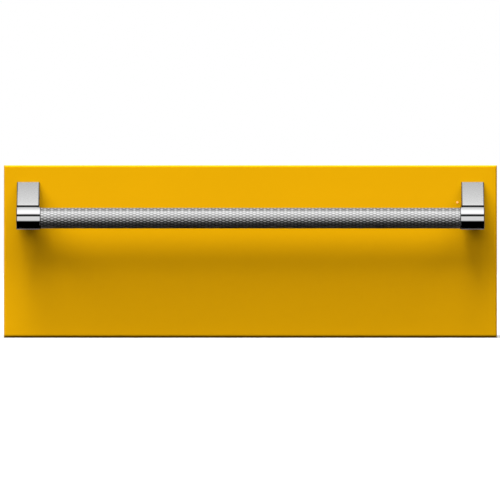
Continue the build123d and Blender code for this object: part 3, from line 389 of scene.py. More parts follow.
def heater_sheath():
    """Nickel alloy tube, dull and unevenly oxidised."""
    made = Finish("element_sheath", (0.085, 0.078, 0.072), 0.5, metallic=0.7)
    made.vary(made.noise(130.0, 5.0), 0.45)
    made.feed(made.spread(made.noise(300.0, 4.0), 0.40, 0.62), "Roughness")
    made.bump(made.noise(1800.0, 3.0), 0.15, 0.00005)
    return made.material


def mineral_fibre():
    """Bonded fibre blanket, felted and a little uneven."""
    made = Finish("insulation", (0.70, 0.64, 0.44), 0.95, specular=0.1)
    strands = made.noise(420.0, 8.0, made.stretched((1.0, 1.6, 2.4)))
    made.vary(made.spread(made.math("ADD", strands, made.noise(35.0, 3.0)), 0.0, 1.0, 0.75, 1.25), 0.22)
    made.bump(strands, 0.6, 0.0009)
    return made.material


THREAD = 2600.0                       # radians of weave in a metre


def woven_seal():
    """Black woven tube of the gasket."""
    made = Finish("seal", (0.035, 0.034, 0.034), 0.85, specular=0.25)
    across, up = made.axis("X"), made.axis("Z")
    threads = [made.math("SINE", made.math("MULTIPLY", made.math(way, across, up), THREAD))
               for way in ("ADD", "SUBTRACT")]
    weave = made.math("MULTIPLY", *threads)
    made.vary(made.spread(weave, 0.0, 1.0, -1.0, 1.0), 0.6)
    made.bump(weave, 0.7, 0.0004)
    return made.material


def moulded(name, colour, roughness, grain=0.12):
    """Moulded plastic or rubber with a fine spark-eroded grain."""
    made = Finish(name, colour, roughness, specular=0.4)
    made.vary(made.spread(made.noise(60.0, 3.0), 0.0, 1.0), 0.12)
    made.feed(made.spread(made.noise(900.0, 2.0), roughness - 0.05, roughness + 0.05), "Roughness")
    made.bump(made.noise(2200.0, 2.0), grain, 0.00005)
    return made.material


def glossy(name, colour, roughness):
    """Glass-like black with a trace of handling marks."""
    made = Finish(name, colour, roughness, specular=0.5)
    made.vary(made.spread(made.noise(25.0, 2.0), 0.0, 1.0), 0.10)
    made.feed(made.spread(made.noise(45.0, 6.0), roughness, roughness + 0.06), "Roughness")
    return made.material


def ceramic():
    """White steatite with a thin glaze."""
    made = Finish("ceramic", (0.82, 0.79, 0.71), 0.28)
    made.vary(made.spread(made.noise(260.0, 5.0), 0.0, 1.0), 0.07)
    made.bump(made.noise(900.0, 2.0), 0.08, 0.00006)
    return made.material


def circuit_board(face, outward):
    """Green laminate with copper under its mask, and dark parts standing on it past a face."""
    made = Finish("circuit_board_" + outward.lower(), (0.02, 0.13, 0.05), 0.38)
    tracks = made.cells(140.0)
    tracks.distance = "CHEBYCHEV"
    lines = made.spread(tracks.outputs["Distance"], 0.0, 1.0, 0.30, 0.34)
    laminate = made.blend(lines, (0.035, 0.21, 0.075), (0.016, 0.11, 0.042))
    standing = made.math("GREATER_THAN", made.axis(outward), face + 0.1 * MM)
    made.feed(made.blend(standing, laminate, (0.03, 0.03, 0.032)), "Base Color")
    made.bump(lines, 0.05, 0.00004)
    return made.material


def amber_lens():
    """The lit indicator: a pale core in an amber lens."""
    made = Finish("lens", (0.55, 0.24, 0.08), 0.18)
    low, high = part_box("indicator_light")
    centre = (low + high) / 2
    away = made.distance("XZ", (centre.x, centre.z))
    core = made.spread(away, 1.0, 0.0, 0.2 * MM, 1.7 * MM)
    made.feed(made.blend(core, (1.0, 0.33, 0.06), (1.0, 0.52, 0.18)), "Emission Color")
    made.set("Emission Strength", 0.95)
    made.bump(made.noise(3000.0, 1.0), 0.05, 0.00003)
    return made.material


# ---- helpers for the pieces ----
def alone(piece=None):
    """Deselects everything, then selects and activates one piece."""
    bpy.ops.object.select_all(action="DESELECT")
    if piece is not None:
        piece.select_set(True)
        bpy.context.view_layer.objects.active = piece


def finish_piece(piece, name, material, body, slot, *stands_for):
    """Names a piece, gives it its finish and lets it ride on its body."""
    piece.name = name
    piece.data.name = name
    piece.data.materials.clear()
    piece.data.materials.append(material)
    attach(piece, body)
    if stands_for:
        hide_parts(*stands_for)


def dress(node, material):
    """Gives a carried-over node its finish."""
    mesh = NODES[node].data
    mesh.materials.clear()
    mesh.materials.append(material)


def soften(piece, width, segments, angle):
    """Bevels the edges of the active piece that are sharper than an angle."""
    bevel = piece.modifiers.new("soften", "BEVEL")
    bevel.width = width
    bevel.segments = segments
    bevel.limit_method = "ANGLE"
    bevel.angle_limit = math.radians(angle)
    bpy.ops.object.modifier_apply(modifier=bevel.name)


def merged_copy(node):
    """A separate copy of a node's mesh with its points merged."""
    copy = bpy.data.objects.new(node + "_copy", NODES[node].data.copy())
    bpy.context.scene.collection.objects.link(copy)
    alone(copy)
    bpy.ops.object.mode_set(mode="EDIT")
    bpy.ops.mesh.select_all(action="SELECT")
    bpy.ops.mesh.remove_doubles(threshold=0.01 * MM)
    bpy.ops.mesh.dissolve_limited(angle_limit=math.radians(0.5))
    bpy.ops.object.mode_set(mode="OBJECT")
    return copy


# ---- the handle ----
def bar_axis():
    """Y and Z of the bar's axis, its radius and the ends of the knurl and of the bar."""
    low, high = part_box("handle_bar")
    ferrule_low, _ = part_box("handle_bracket_right")
    return (low.y + high.y) / 2, (low.z + high.z) / 2, (high.z - low.z) / 2, ferrule_low.x, high.x


def one_diamond(pitch, width, depth):
    """A pillowed diamond, flat in X and Z, its crown towards -Y."""
    alone()
    bpy.ops.mesh.primitive_grid_add(x_subdivisions=5, y_subdivisions=5, size=2.0)
    diamond = bpy.context.object
    for point in diamond.data.vertices:
        s, t, _ = point.co
        crown = depth * (1 - s * s) * (1 - t * t)
        point.co = Vector(((s - t) / 4 * pitch, -crown, (s + t) / 4 * width))
    return diamond


def knurled_bar(bar):
    """Diamonds repeated along and round the bar, closed by a plain spigot at each end."""
    axis_y, axis_z, radius, knurl_end, bar_end = bar_axis()
    width = math.tau * radius / bar.rows_around
    columns = 2 * math.ceil(knurl_end / bar.pitch) + 1
    piece = one_diamond(bar.pitch, width, bar.depth)
    twin = piece.copy()
    twin.data = piece.data.copy()
    bpy.context.scene.collection.objects.link(twin)
    twin.data.transform(Matrix.Translation((bar.pitch / 2, 0, width / 2)))
    alone(piece)
    twin.select_set(True)
    bpy.ops.object.join()
    for count, offset in ((columns, (bar.pitch, 0, 0)), (bar.rows_around, (0, 0, width))):
        repeat = piece.modifiers.new("repeat", "ARRAY")
        repeat.count = count
        repeat.use_relative_offset = False
        repeat.use_constant_offset = True
        repeat.constant_offset_displace = offset
        bpy.ops.object.modifier_apply(modifier=repeat.name)
    start = KNURL_SHIFT - (columns - 0.5) * bar.pitch / 2
    for point in piece.data.vertices:
        turn = point.co.z / radius + KNURL_TURN
        out = radius - bar.depth - point.co.y
        point.co = Vector((point.co.x + start, axis_y - out * math.cos(turn),
                           axis_z + out * math.sin(turn)))
    bpy.ops.object.mode_set(mode="EDIT")
    bpy.ops.mesh.select_all(action="SELECT")
    bpy.ops.mesh.remove_doubles(threshold=0.02 * MM)
    close_bar_ends(piece, axis_y, axis_z, radius - bar.depth, bar_end)
    bpy.ops.mesh.select_all(action="SELECT")
    bpy.ops.mesh.normals_make_consistent(inside=False)
    bpy.ops.object.mode_set(mode="OBJECT")
    bpy.ops.object.shade_smooth_by_angle(angle=math.radians(35))
    return piece


def close_bar_ends(piece, axis_y, axis_z, radius, bar_end):
    """Runs the open rim at each end of the knurl straight out to the bar's end and caps it."""
    for side in (-1, 1):
        mesh = bmesh.from_edit_mesh(piece.data)
        for point in mesh.verts:
            point.select = False
        mesh.select_flush(False)
        for edge in mesh.edges:
            if edge.is_boundary and side * edge.verts[0].co.x > 0:
                edge.select = True
        bmesh.update_edit_mesh(piece.data)
        bpy.ops.mesh.extrude_edges_move()
        mesh = bmesh.from_edit_mesh(piece.data)
        for point in mesh.verts:
            if point.select:
                across = Vector((point.co.y - axis_y, point.co.z - axis_z)).normalized() * radius
                point.co = Vector((side * bar_end, axis_y + across.x, axis_z + across.y))
        bmesh.update_edit_mesh(piece.data)
        bpy.ops.mesh.edge_face_add()


# A black ring at each end of the knurl stands for the shade beside each ferrule.
SHADE_RING_WIDTH = 0.6 * MM


def shade_ring(seat, width, low, high):
    """A soft-edged ring round the bar's axis, from one radius to another, beside a ferrule."""
    axis_y, axis_z, _, _, _ = bar_axis()
    alone()
    bpy.ops.mesh.primitive_plane_add(size=1.0)
    ring = bpy.context.object
    ring.data.transform(Matrix.Translation((seat, axis_y - (low + high) / 2, axis_z))
                        @ Matrix.Diagonal((width, high - low, 1, 1)))
    bpy.ops.object.mode_set(mode="EDIT")
    bpy.ops.mesh.select_all(action="SELECT")
    bpy.ops.mesh.delete(type="ONLY_FACE")
    bpy.ops.mesh.select_all(action="SELECT")
    bpy.ops.mesh.spin(steps=64, angle=math.tau, center=(0, axis_y, axis_z), axis=(1, 0, 0))
    bpy.ops.mesh.select_all(action="SELECT")
    bpy.ops.mesh.remove_doubles(threshold=0.005 * MM)
    bpy.ops.mesh.normals_make_consistent(inside=False)
    bpy.ops.object.mode_set(mode="OBJECT")
    soften(ring, 0.2 * MM, 2, 50)
    bpy.ops.object.shade_smooth_by_angle(angle=math.radians(40))
    return ring


class DRAWER_OT_bar(bpy.types.Operator):
    """Model the knurled bar of the handle and a black ring of painted shade at each of its ends"""
    bl_idname = "warming_drawer.bar"
    bl_label = "Knurled Bar"

    def execute(self, context):
        _, bar, _ = settings()
        axis_y, axis_z, radius, knurl_end, _ = bar_axis()
        material = knurled_steel(axis_y, axis_z, radius, bar)
        finish_piece(knurled_bar(bar), "knurled_bar", material, "drawer", "knurled_steel",
                     "handle_bar")
        dress("handle_bar", material)
        # Painted shade: the black rings beside the ferrules are dark pieces put where there is only
        # shade.
        rubber = moulded("seam_shade", (0.02, 0.02, 0.02), 0.6)
        for side, hand in ((-1, "left"), (1, "right")):
            ring = shade_ring(side * (knurl_end - SHADE_RING_WIDTH / 2), SHADE_RING_WIDTH, radius - 1.0 * MM,
                             radius + 0.15 * MM)
            finish_piece(ring, "bar_shade_ring_" + hand, rubber, "drawer", "bumper_rubber")
        return {"FINISHED"}


class DRAWER_OT_brackets(bpy.types.Operator):
    """Give both handle brackets their softened edges and their polish"""
    bl_idname = "warming_drawer.brackets"
    bl_label = "Handle Brackets"

    def execute(self, context):
        axis_y, axis_z, _, _, _ = bar_axis()
        material = polished_bracket(axis_y, axis_z)
        for hand in ("left", "right"):
            node = "handle_bracket_" + hand
            dress(node, material)
            piece = merged_copy(node)
            soften(piece, 0.5 * MM, 2, 40)
            bpy.ops.object.shade_smooth_by_angle(angle=math.radians(25))
            finish_piece(piece, "bracket_" + hand, material, "drawer", "bright_steel", node)
        return {"FINISHED"}


# ---- fasteners ----
def loose_parts(node):
    """The separate solids of a node, as lists of points."""
    alone(merged_copy(node))
    bpy.ops.mesh.separate(type="LOOSE")
    parts = list(bpy.context.selected_objects)
    points = [[point.co.copy() for point in part.data.vertices] for part in parts]
    for part in parts:
        bpy.data.meshes.remove(part.data)
    return points


def seat_of(points):
    """Matrix from a screw standing on its seat, head up, to its place, with its four sizes."""
    low = Vector([min(p[i] for p in points) for i in range(3)])
    high = Vector([max(p[i] for p in points) for i in range(3)])
    size, centre = high - low, (low + high) / 2
    axis = min(range(3), key=lambda i: abs(size[i - 1] - size[i - 2]))

    def off(point):
        across = point - centre
        across[axis] = 0
        return across.length

    head = max(off(point) for point in points)
    rim = [point[axis] for point in points if off(point) > 0.9 * head]
    outward = Vector((0, 0, 0))
    outward[axis] = 1 if sum(rim) / len(rim) > centre[axis] else -1
    height = max(rim) - min(rim)
    seat = centre.copy()
    seat[axis] = min(rim) if outward[axis] > 0 else max(rim)
    shank = min(off(point) for point in points)
    turn = outward.to_track_quat("Z", "X" if axis else "Y").to_matrix().to_4x4()
    return Matrix.Translation(seat) @ turn, (head, height, shank, size[axis] - height), axis


def screw_form(head, height, shank, length, recess):
    """A domed head over its shank, with a cross recess or without."""
    alone()
    bpy.ops.mesh.primitive_grid_add(x_subdivisions=9, y_subdivisions=9, size=2.0)
    form = bpy.context.object
    for point in form.data.vertices:
        x, y, _ = point.co
        x, y = x * math.sqrt(1 - y * y / 2), y * math.sqrt(1 - x * x / 2)
        out = min(1.0, math.hypot(x, y))
        point.co = Vector((x * head, y * head, height * (0.45 + 0.55 * math.sqrt(1 - 0.94 * out ** 2))))
    bpy.ops.object.mode_set(mode="EDIT")
    mesh = bmesh.from_edit_mesh(form.data)
    if recess:
        for face in mesh.faces:
            across = face.calc_center_median()
            x, y = abs(across.x) / head, abs(across.y) / head
            face.select = min(x, y) < 0.10 and max(x, y) < 0.56
        bmesh.update_edit_mesh(form.data)
        bpy.ops.mesh.extrude_region_move(TRANSFORM_OT_translate={"value": (0, 0, -0.55 * height)})
        bpy.ops.transform.resize(value=(0.8, 0.8, 1.0), center_override=(0, 0, 0))
    mesh = bmesh.from_edit_mesh(form.data)
    for drop, radius in ((None, head), (0.0, shank), (-length, shank * 0.8)):
        for face in mesh.faces:
            face.select = False
        mesh.select_flush(False)
        for edge in mesh.edges:
            edge.select = edge.is_boundary
        bmesh.update_edit_mesh(form.data)
        bpy.ops.mesh.extrude_edges_move()
        mesh = bmesh.from_edit_mesh(form.data)
        for point in mesh.verts:
            if point.select:
                across = Vector((point.co.x, point.co.y)).normalized() * radius
                point.co = Vector((across.x, across.y, 0.0 if drop is None else drop))
        bmesh.update_edit_mesh(form.data)
    bpy.ops.mesh.edge_face_add()
    bpy.ops.mesh.select_all(action="SELECT")
    bpy.ops.mesh.normals_make_consistent(inside=False)
    bpy.ops.object.mode_set(mode="OBJECT")
    bpy.ops.object.shade_smooth_by_angle(angle=math.radians(38))
    return form


def fasteners(node, name, body, slot, material):
    """Domed screws, and plain rivets across the drawer's sides, where a node has its fasteners."""
    forms, copies = {}, []
    for points in loose_parts(node):
        place, sizes, axis = seat_of(points)
        key = tuple(round(value, 5) for value in sizes) + (axis == 0,)
        if key not in forms:
            forms[key] = screw_form(*sizes, recess=axis != 0)
        copy = bpy.data.objects.new(name, forms[key].data.copy())
        bpy.context.scene.collection.objects.link(copy)
        copy.data.transform(place)
        copies.append(copy)
    for form in forms.values():
        bpy.data.meshes.remove(form.data)
    alone(copies[0])
    for copy in copies:
        copy.select_set(True)
    bpy.ops.object.join()
    finish_piece(copies[0], name, material, body, slot, node)


# ---- soft pieces ----
def blanket(node, name, body, material, cell):
    """A felted pad with rounded edges and an uneven face, inside the space of its node."""
    piece = merged_copy(node)
    piece.data.remesh_voxel_size = cell
    piece.data.use_remesh_preserve_volume = False
    bpy.ops.object.voxel_remesh()
    smooth = piece.modifiers.new("settle", "SMOOTH")
    smooth.factor = 0.5
    smooth.iterations = 2
    lumps = bpy.data.textures.new(name + "_lumps", "CLOUDS")
    lumps.noise_scale = 0.045
    lumps.noise_depth = 2
    uneven = piece.modifiers.new("uneven", "DISPLACE")
    uneven.texture = lumps
    uneven.texture_coords = "LOCAL"
    uneven.mid_level = 1.0
    uneven.strength = 2.4 * MM
    for modifier in ("settle", "uneven"):
        bpy.ops.object.modifier_apply(modifier=modifier)
    bpy.ops.object.shade_smooth()
    finish_piece(piece, name, material, body, "insulation", node)


# ---- marks on the control strip ----
def flat_bar(x, y, width, height, turn=0.0):
    """A bar lying in X and Y."""
    alone()
    bpy.ops.mesh.primitive_plane_add(size=1.0)
    bar = bpy.context.object
    bar.data.transform(Matrix.Translation((x, y, 0)) @ Matrix.Rotation(turn, 4, "Z")
                       @ Matrix.Diagonal((width, height, 1, 1)))
    return bar


def flat_arc(x, y, radius, width, start, end, steps=20):
    """Part of a ring lying in X and Y, turned from one angle to another."""
    alone()
    bpy.ops.mesh.primitive_plane_add(size=1.0)
    arc = bpy.context.object
    bpy.ops.object.mode_set(mode="EDIT")
    mesh = bmesh.from_edit_mesh(arc.data)
    for point in mesh.verts:
        point.co.x = radius + math.copysign(width / 2, point.co.x)
        point.co.y = 0.0
    bmesh.ops.remove_doubles(mesh, verts=mesh.verts, dist=0.001 * MM)
    bmesh.update_edit_mesh(arc.data)
    bpy.ops.mesh.select_all(action="SELECT")
    bpy.ops.mesh.spin(steps=steps, angle=end - start, center=(0, 0, 0), axis=(0, 0, 1))
    bpy.ops.mesh.select_all(action="SELECT")
    bpy.ops.mesh.remove_doubles(threshold=0.002 * MM)
    bpy.ops.object.mode_set(mode="OBJECT")
    arc.data.transform(Matrix.Translation((x, y, 0)) @ Matrix.Rotation(start, 4, "Z"))
    return arc


def mark(name, shapes, centre, thickness, material, body, slot):
    """Joins flat shapes to one thin print lying on a face."""
    alone(shapes[0])
    for shape in shapes:
        shape.select_set(True)
    bpy.ops.object.join()
    piece = bpy.context.object
    bpy.ops.object.mode_set(mode="EDIT")
    mesh = bmesh.from_edit_mesh(piece.data)
    for face in mesh.faces:
        face.normal_update()
        if face.normal.z < 0:
            face.normal_flip()
    bmesh.update_edit_mesh(piece.data)
    bpy.ops.object.mode_set(mode="OBJECT")
    print_depth = piece.modifiers.new("print", "SOLIDIFY")
    print_depth.thickness = thickness
    print_depth.offset = 1.0
    bpy.ops.object.modifier_apply(modifier=print_depth.name)
    piece.data.transform(Matrix.Translation(centre))
    finish_piece(piece, name, material, body, slot)


def key_shapes():
    """The flat shapes of each key's symbol, in metres round the middle of the key."""
    line = 0.55 * MM
    ring = 2.6 * MM
    wave = 1.3 * MM

    def bars(count):
        return [flat_bar((index - (count - 1) / 2) * 2.2 * MM, (index - count + 1) * 0.45 * MM,
                         1.1 * MM, (3.4 + index * 0.9) * MM) for index in range(count)]

    return {
        "key_power": [flat_arc(0, 0, ring, line, math.radians(125), math.radians(415)),
                      flat_bar(0, 1.9 * MM, line, 2.9 * MM)],
        "key_low": bars(1),
        "key_medium": bars(2),
        "key_high": bars(3),
        "key_proof": [shape for row in (-1.2, 1.2) for shape in (
            flat_arc(-2 * wave, row * MM, wave, line, 0, math.pi, 10),
            flat_arc(0, row * MM, wave, line, math.pi, math.tau, 10),
            flat_arc(2 * wave, row * MM, wave, line, 0, math.pi, 10))],
        "key_timer": [flat_arc(0, 0, ring, line, 0, math.tau, 28),
                      flat_bar(0, 0.85 * MM, line, 1.9 * MM),
                      flat_bar(0.7 * MM, 0, 1.6 * MM, line)],
    }


SEGMENTS = {"7": "abc", "0": "abcdef"}


def digit(x, number, height):
    """A figure of seven bars."""
    wide, thick, gap = height * 0.5, height * 0.11, height * 0.03
    half = height / 2
    upright = half - thick - 2 * gap + thick / 2
    places = {
        "a": (0, half, wide - thick, thick), "d": (0, -half, wide - thick, thick),
        "b": (wide / 2, half / 2, thick, upright), "c": (wide / 2, -half / 2, thick, upright),
        "f": (-wide / 2, half / 2, thick, upright), "e": (-wide / 2, -half / 2, thick, upright),
    }
    bars = [places[segment] for segment in SEGMENTS[number]]
    return [flat_bar(x + bar_x, bar_y, width, length) for bar_x, bar_y, width, length in bars]


class DRAWER_OT_marks(bpy.types.Operator):
    """Print plain symbols on the keys and light the figures of the display"""
    bl_idname = "warming_drawer.marks"
    bl_label = "Key Symbols and Figures"

    def execute(self, context):
        paint = moulded("key_print", (0.78, 0.78, 0.77), 0.5)
        for node, shapes in key_shapes().items():
            low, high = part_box(node)
            top = Vector(((low.x + high.x) / 2, (low.y + high.y) / 2, high.z))
            mark(node.replace("key", "symbol"), shapes, top, PRINT, paint, node, "key_grey")
        low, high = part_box("display_window")
        top = Vector(((low.x + high.x) / 2, (low.y + high.y) / 2, high.z))
        figures = digit(-5 * MM, "7", 9 * MM) + digit(3 * MM, "0", 9 * MM)
        figures.append(flat_arc(8.6 * MM, 4 * MM, 0.9 * MM, 0.5 * MM, 0, math.tau, 16))
        glow = Finish("display_figures", (0.9, 0.25, 0.05), 0.5)
        glow.set("Emission Color", (1.0, 0.30, 0.06, 1.0))
        glow.feed(glow.spread(glow.noise(900.0), 0.8, 1.0), "Emission Strength")
        mark("display_figures", figures, top, PRINT, glow.material, "drawer", "window_tint")
        return {"FINISHED"}


class DRAWER_OT_fasteners(bpy.types.Operator):
    """Model the screws and rivets that show when the drawer is open or taken out"""
    bl_idname = "warming_drawer.fasteners"
    bl_label = "Fasteners"

    def execute(self, context):
        steel = plated("fastener_steel", (0.56, 0.56, 0.55), 0.28)
        fasteners("face_frame_screws", "frame_screws", "chassis", "screw_steel", steel)
        fasteners("case_screws", "cover_and_back_screws", "chassis", "screw_steel", steel)
        fasteners("drawer_fixings", "drawer_screws_and_rivets", "drawer", "screw_steel", steel)
        return {"FINISHED"}


class DRAWER_OT_soft(bpy.types.Operator):
    """Model the insulation blankets and the rubber bumpers"""
    bl_idname = "warming_drawer.soft"
    bl_label = "Insulation and Bumpers"

    def execute(self, context):
        fibre = mineral_fibre()
        for node, body, cell in (("insulation_wrap", "chassis", 6.0),
                                 ("insulation_floor", "chassis", 6.0),
                                 ("insulation_rear", "chassis", 4.0),
                                 ("front_insulation", "drawer", 5.0)):
            dress(node, fibre)
            blanket(node, node.replace("insulation", "blanket"), body, fibre, cell * MM)
        rubber = moulded("bumper_rubber", (0.045, 0.045, 0.045), 0.65)
        dress("bumpers", rubber)
        piece = merged_copy("bumpers")
        soften(piece, 1.1 * MM, 4, 60)
        bpy.ops.object.shade_smooth_by_angle(angle=math.radians(40))
        finish_piece(piece, "soft_bumpers", rubber, "drawer", "bumper_rubber", "bumpers")
        return {"FINISHED"}


class DRAWER_OT_front(bpy.types.Operator):
    """Finish the enamelled front, its inner panel, the seal and the light"""
    bl_idname = "warming_drawer.front"
    bl_label = "Drawer Front"

    def execute(self, context):
        colours, _, _ = settings()
        dress("front_skin", enamel(colours.colour, colours.roughness))
        NODES["front_skin"].visible_glossy = False
        dress("inner_front_panel", brushed("stainless_front", (0.60, 0.60, 0.59), 0.30, "X"))
        dress("front_gasket", woven_seal())
        dress("indicator_light", amber_lens())
        dress("indicator_holder", moulded("black_matte_clip", (0.03, 0.03, 0.03), 0.5))
        steel = plated("screw_steel", (0.52, 0.52, 0.51), 0.32)
        for node in ("handle_backing_plates", "handle_screws", "drawer_fixings",
                     "face_frame_screws", "case_screws", "slide_rivets"):
            dress(node, steel)
        return {"FINISHED"}


class DRAWER_OT_controls(bpy.types.Operator):
    """Finish the control strip, its keys and the boards"""
    bl_idname = "warming_drawer.controls"
    bl_label = "Controls"

    def execute(self, context):
        dress("control_fascia", glossy("black_gloss", (0.012, 0.012, 0.014), 0.07))
        dress("display_window", glossy("window_tint", (0.03, 0.009, 0.010), 0.04))
        dress("control_housing", moulded("black_matte", (0.03, 0.03, 0.03), 0.5))
        grey = moulded("key_grey", (0.27, 0.27, 0.28), 0.42)
        for node in NODES:
            if node.startswith("key_"):
                dress(node, grey)
        low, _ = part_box("control_board")
        dress("control_board", circuit_board(low.z + BOARD, "Z"))
        low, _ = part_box("power_board")
        dress("power_board", circuit_board(low.y + BOARD, "Y"))
        return {"FINISHED"}


class DRAWER_OT_box(bpy.types.Operator):
    """Finish the drawer box, the pan, the slides and the vent"""
    bl_idname = "warming_drawer.box"
    bl_label = "Drawer Box"

    def execute(self, context):
        across = brushed("stainless_across", (0.60, 0.60, 0.59), 0.30, "X")
        deep = brushed("stainless_deep", (0.58, 0.58, 0.57), 0.32, "Y")
        dress("drawer_pan", brushed("stainless_pan", (0.63, 0.63, 0.62), 0.26, "X"))
        for node in ("drawer_back", "drawer_front_rail", "vent_slider", "vent_guides"):
            dress(node, across)
        zinc = plated("zinc_plated", (0.62, 0.62, 0.60), 0.28)
        for hand in ("left", "right"):
            dress("drawer_side_" + hand, deep)
            for member in ("outer", "middle", "inner"):
                dress(f"slide_{member}_{hand}", zinc)
        dress("ball_cages_outer", zinc)
        dress("ball_cages_inner", zinc)
        return {"FINISHED"}


class DRAWER_OT_case(bpy.types.Operator):
    """Finish the case, the cavity, the heater and the electrics"""
    bl_idname = "warming_drawer.case"
    bl_label = "Case and Cavity"

    def execute(self, context):
        zinc = galvanised()
        for node in ("outer_case", "case_top_cover", "case_back_panel", "anti_tip_bracket",
                     "rear_bulkhead"):
            dress(node, zinc)
        dress("face_frame", brushed("stainless_frame", (0.58, 0.58, 0.57), 0.33, "X"))
        liner = brushed("stainless_liner", (0.57, 0.57, 0.56), 0.34, "Y")
        for node in ("cavity_liner", "element_supports", "temperature_probe"):
            dress(node, liner)
        dress("heating_element", heater_sheath())
        dress("element_bushings", ceramic())
        black = moulded("black_moulded", (0.028, 0.028, 0.028), 0.48)
        for node in ("thermal_cutout", "terminal_block", "cord_bushing"):
            dress(node, black)
        return {"FINISHED"}


# ---- the studio ----
def ramp_stops(ramp, stops):
    """Sets a colour ramp to grey levels at places from 0 to 1."""
    elements = ramp.color_ramp.elements
    while len(elements) > 1:
        elements.remove(elements[-1])
    place, level = stops[0]
    elements[0].position = place
    elements[0].color = (level, level, level, 1)
    for place, level in stops[1:]:
        element = elements.new(place)
        element.color = (level, level, level, 1)


# Broad lights: strength, apparent size, height over the horizon and place to the left, in degrees.
LIGHTS = {
    "left": (3.52, 46.0, 51.9, 49.4),
    "right": (1.78, 48.0, 54.7, -39.4),
    "top": (2.70, 24.0, 75.4, 24.7),
}

# What polished metal sees, by the angle from straight ahead, up over the top to the back.
REFLECTED = (
    (-180, 0.60), (-172, 0.40), (-166, 0.0), (-32.5, 0.0), (-28.5, 0.30), (-23.5, 0.72), (0, 0.74),
    (13, 0.77), (17, 0.66), (19.5, 0.015), (36.5, 0.015), (45, 0.75), (49, 1.15), (78, 1.15),
    (105, 0.86), (125, 0.72), (150, 0.55), (180, 0.60),
)
FRONT_FILL = 0.14                     # what dull surfaces see ahead of the front
REAR_FILL = 0.55                      # and behind it
CORNER_GLOW = 0.62                    # what metal sees past either rear corner
CAMERA_RIGHT = -0.66 * MM             # the camera's place beside and over the panel's middle
CAMERA_RISE = 2.2 * MM
FLOOR_DROP = 0.2 * MM                 # the floor's place under the lowest point


def studio_world():
    """White to the camera, soft fill for the surfaces, and bright and dark bands for the metal."""
    world = bpy.data.worlds.new("studio")
    bpy.context.scene.world = world
    world.use_nodes = True
    tree = world.node_tree
    nodes, links = tree.nodes, tree.links

    def count(operation, first, second=0.0):
        return arithmetic(tree, operation, first, second)

    direction = nodes.new("ShaderNodeTexCoord").outputs["Generated"]
    split = nodes.new("ShaderNodeSeparateXYZ")
    links.new(direction, split.inputs[0])
    ahead = count("MULTIPLY", split.outputs["Y"], -1.0)
    angle = count("ARCTAN2", split.outputs["Z"], ahead)
    share = count("ADD", count("DIVIDE", angle, math.tau), 0.5)
    bands = nodes.new("ShaderNodeValToRGB")
    links.new(share, bands.inputs["Fac"])
    ramp_stops(bands, [((degrees + 180) / 360, level) for degrees, level in REFLECTED])

    def between(value, start, end, low, high):
        return remapped(tree, value, low, high, start, end)

    fill = count("MULTIPLY", between(split.outputs["Y"], -0.05, 0.35, FRONT_FILL, REAR_FILL),
                 between(split.outputs["Z"], -0.3, 0.3, 0.10, 1.0))
    off_side = count("ABSOLUTE", split.outputs["X"])
    ahead_only = count("MULTIPLY", bands.outputs["Color"], between(off_side, 0.55, 0.85, 1.0, 0.12))
    corner = count("MULTIPLY", between(off_side, 0.3, 0.55, 0.0, 1.0),
                   between(split.outputs["Y"], 0.05, 0.35, 0.0, 1.0))
    mirrored = count("MAXIMUM", ahead_only, count("MULTIPLY", corner, CORNER_GLOW))

    path = nodes.new("ShaderNodeLightPath")
    glossy_share = path.outputs["Is Glossy Ray"]
    seen = count("MAXIMUM", path.outputs["Is Camera Ray"], path.outputs["Is Transmission Ray"])
    lit = count("ADD", count("MULTIPLY", mirrored, glossy_share),
                count("MULTIPLY", fill, count("SUBTRACT", 1.0, glossy_share)))
    level = count("MAXIMUM", lit, seen)
    links.new(level, nodes["Background"].inputs["Strength"])
    nodes["Background"].inputs["Color"].default_value = (1, 1, 1, 1)
    world.cycles.sampling_method = "NONE"


def studio_floor():
    """A wide pale floor under the lowest point of the object."""
    alone()
    bpy.ops.mesh.primitive_plane_add(size=120.0, location=(0, 0, CAD_BOX[0].z - FLOOR_DROP))
    floor = bpy.context.object
    floor.name = "studio_floor"
    material = bpy.data.materials.new("pale_floor")
    material.use_nodes = True
    tree = material.node_tree
    shader = tree.nodes["Principled BSDF"]
    shader.inputs["Base Color"].default_value = (0.44, 0.44, 0.44, 1)
    shader.inputs["Roughness"].default_value = 0.9
    shader.inputs["Specular IOR Level"].default_value = 0.0
    path = tree.nodes.new("ShaderNodeLightPath")
    glow = tree.nodes.new("ShaderNodeMath")
    glow.operation = "MULTIPLY"
    glow.inputs[1].default_value = 0.08
    tree.links.new(path.outputs["Is Camera Ray"], glow.inputs[0])
    tree.links.new(glow.outputs[0], shader.inputs["Emission Strength"])
    shader.inputs["Emission Color"].default_value = (1, 1, 1, 1)
    floor.data.materials.append(material)
    floor.visible_glossy = False
    floor.visible_diffuse = False


def soft_light(name, strength, spread, height, side):
    """A broad light from above the front."""
    lamp = bpy.data.lights.new(name, "SUN")
    lamp.energy = strength
    lamp.angle = spread
    light = bpy.data.objects.new(name, lamp)
    bpy.context.scene.collection.objects.link(light)
    toward = Vector((-math.sin(side) * math.cos(height), -math.cos(side) * math.cos(height),
                     math.sin(height)))
    light.rotation_mode = "QUATERNION"
    light.rotation_quaternion = toward.to_track_quat("Z", "Y")
    light.location = toward * 3
    light.visible_glossy = False


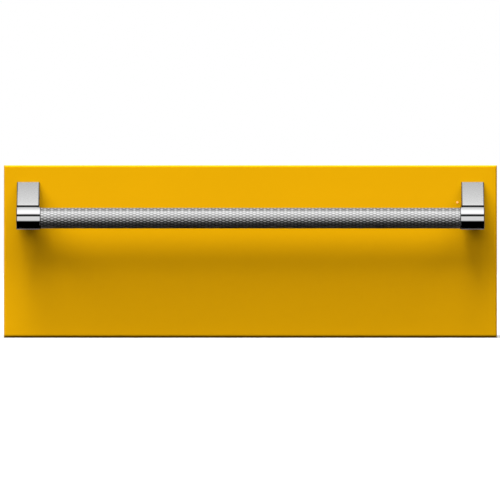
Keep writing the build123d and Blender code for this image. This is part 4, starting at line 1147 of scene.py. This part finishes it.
def photo_camera(studio):
    """A long lens straight in front of the drawer."""
    low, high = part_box("front_skin")
    camera = bpy.data.cameras.new("camera")
    camera.lens = studio.lens
    camera.sensor_width = 36.0
    camera.clip_end = 200.0
    holder = bpy.data.objects.new("camera", camera)
    bpy.context.scene.collection.objects.link(holder)
    holder.location = ((low.x + high.x) / 2 + CAMERA_RIGHT, low.y - studio.camera_distance,
                       (low.z + high.z) / 2 + CAMERA_RISE)
    holder.rotation_euler = (math.radians(90), 0, 0)
    bpy.context.scene.camera = holder


class DRAWER_OT_stage(bpy.types.Operator):
    """Set the floor, the light and the camera"""
    bl_idname = "warming_drawer.stage"
    bl_label = "Studio"

    def execute(self, context):
        _, _, studio = settings()
        bpy.context.scene.view_settings.view_transform = "Standard"
        studio_world()
        studio_floor()
        for name, (strength, spread, height, side) in LIGHTS.items():
            soft_light(name, strength * studio.light_level, math.radians(spread),
                       math.radians(height), math.radians(side) + studio.light_turn)
        photo_camera(studio)
        return {"FINISHED"}


OPERATORS = (DRAWER_OT_stage, DRAWER_OT_front, DRAWER_OT_bar, DRAWER_OT_brackets,
             DRAWER_OT_controls, DRAWER_OT_marks, DRAWER_OT_box, DRAWER_OT_case,
             DRAWER_OT_fasteners, DRAWER_OT_soft)
GROUPS = {
    "drawer_enamel": DRAWER_PG_enamel,
    "drawer_bar": DRAWER_PG_bar,
    "drawer_studio": DRAWER_PG_studio,
}


class DRAWER_PT_panel(bpy.types.Panel):
    """Lists the steps that dress the warming drawer"""
    bl_idname = "DRAWER_PT_panel"
    bl_label = "Warming Drawer"
    bl_space_type = "VIEW_3D"
    bl_region_type = "UI"
    bl_category = "Warming Drawer"

    def draw(self, context):
        for name, group in GROUPS.items():
            for prop in group.__annotations__:
                self.layout.prop(getattr(context.scene, name), prop)
        for operator in OPERATORS:
            self.layout.operator(operator.bl_idname)


def register():
    for kind in (*GROUPS.values(), *OPERATORS, DRAWER_PT_panel):
        bpy.utils.register_class(kind)
    for name, group in GROUPS.items():
        setattr(bpy.types.Scene, name, bpy.props.PointerProperty(type=group))


def unregister():
    for name in GROUPS:
        delattr(bpy.types.Scene, name)
    for kind in (DRAWER_PT_panel, *reversed(OPERATORS), *GROUPS.values()):
        bpy.utils.unregister_class(kind)


def main():
    register()
    for operator in OPERATORS:
        group, step = operator.bl_idname.split(".")
        result = getattr(getattr(bpy.ops, group), step)()
        if result != {"FINISHED"}:
            raise RuntimeError(operator.bl_label + " did not finish")


if __name__ == "__main__":
    main()
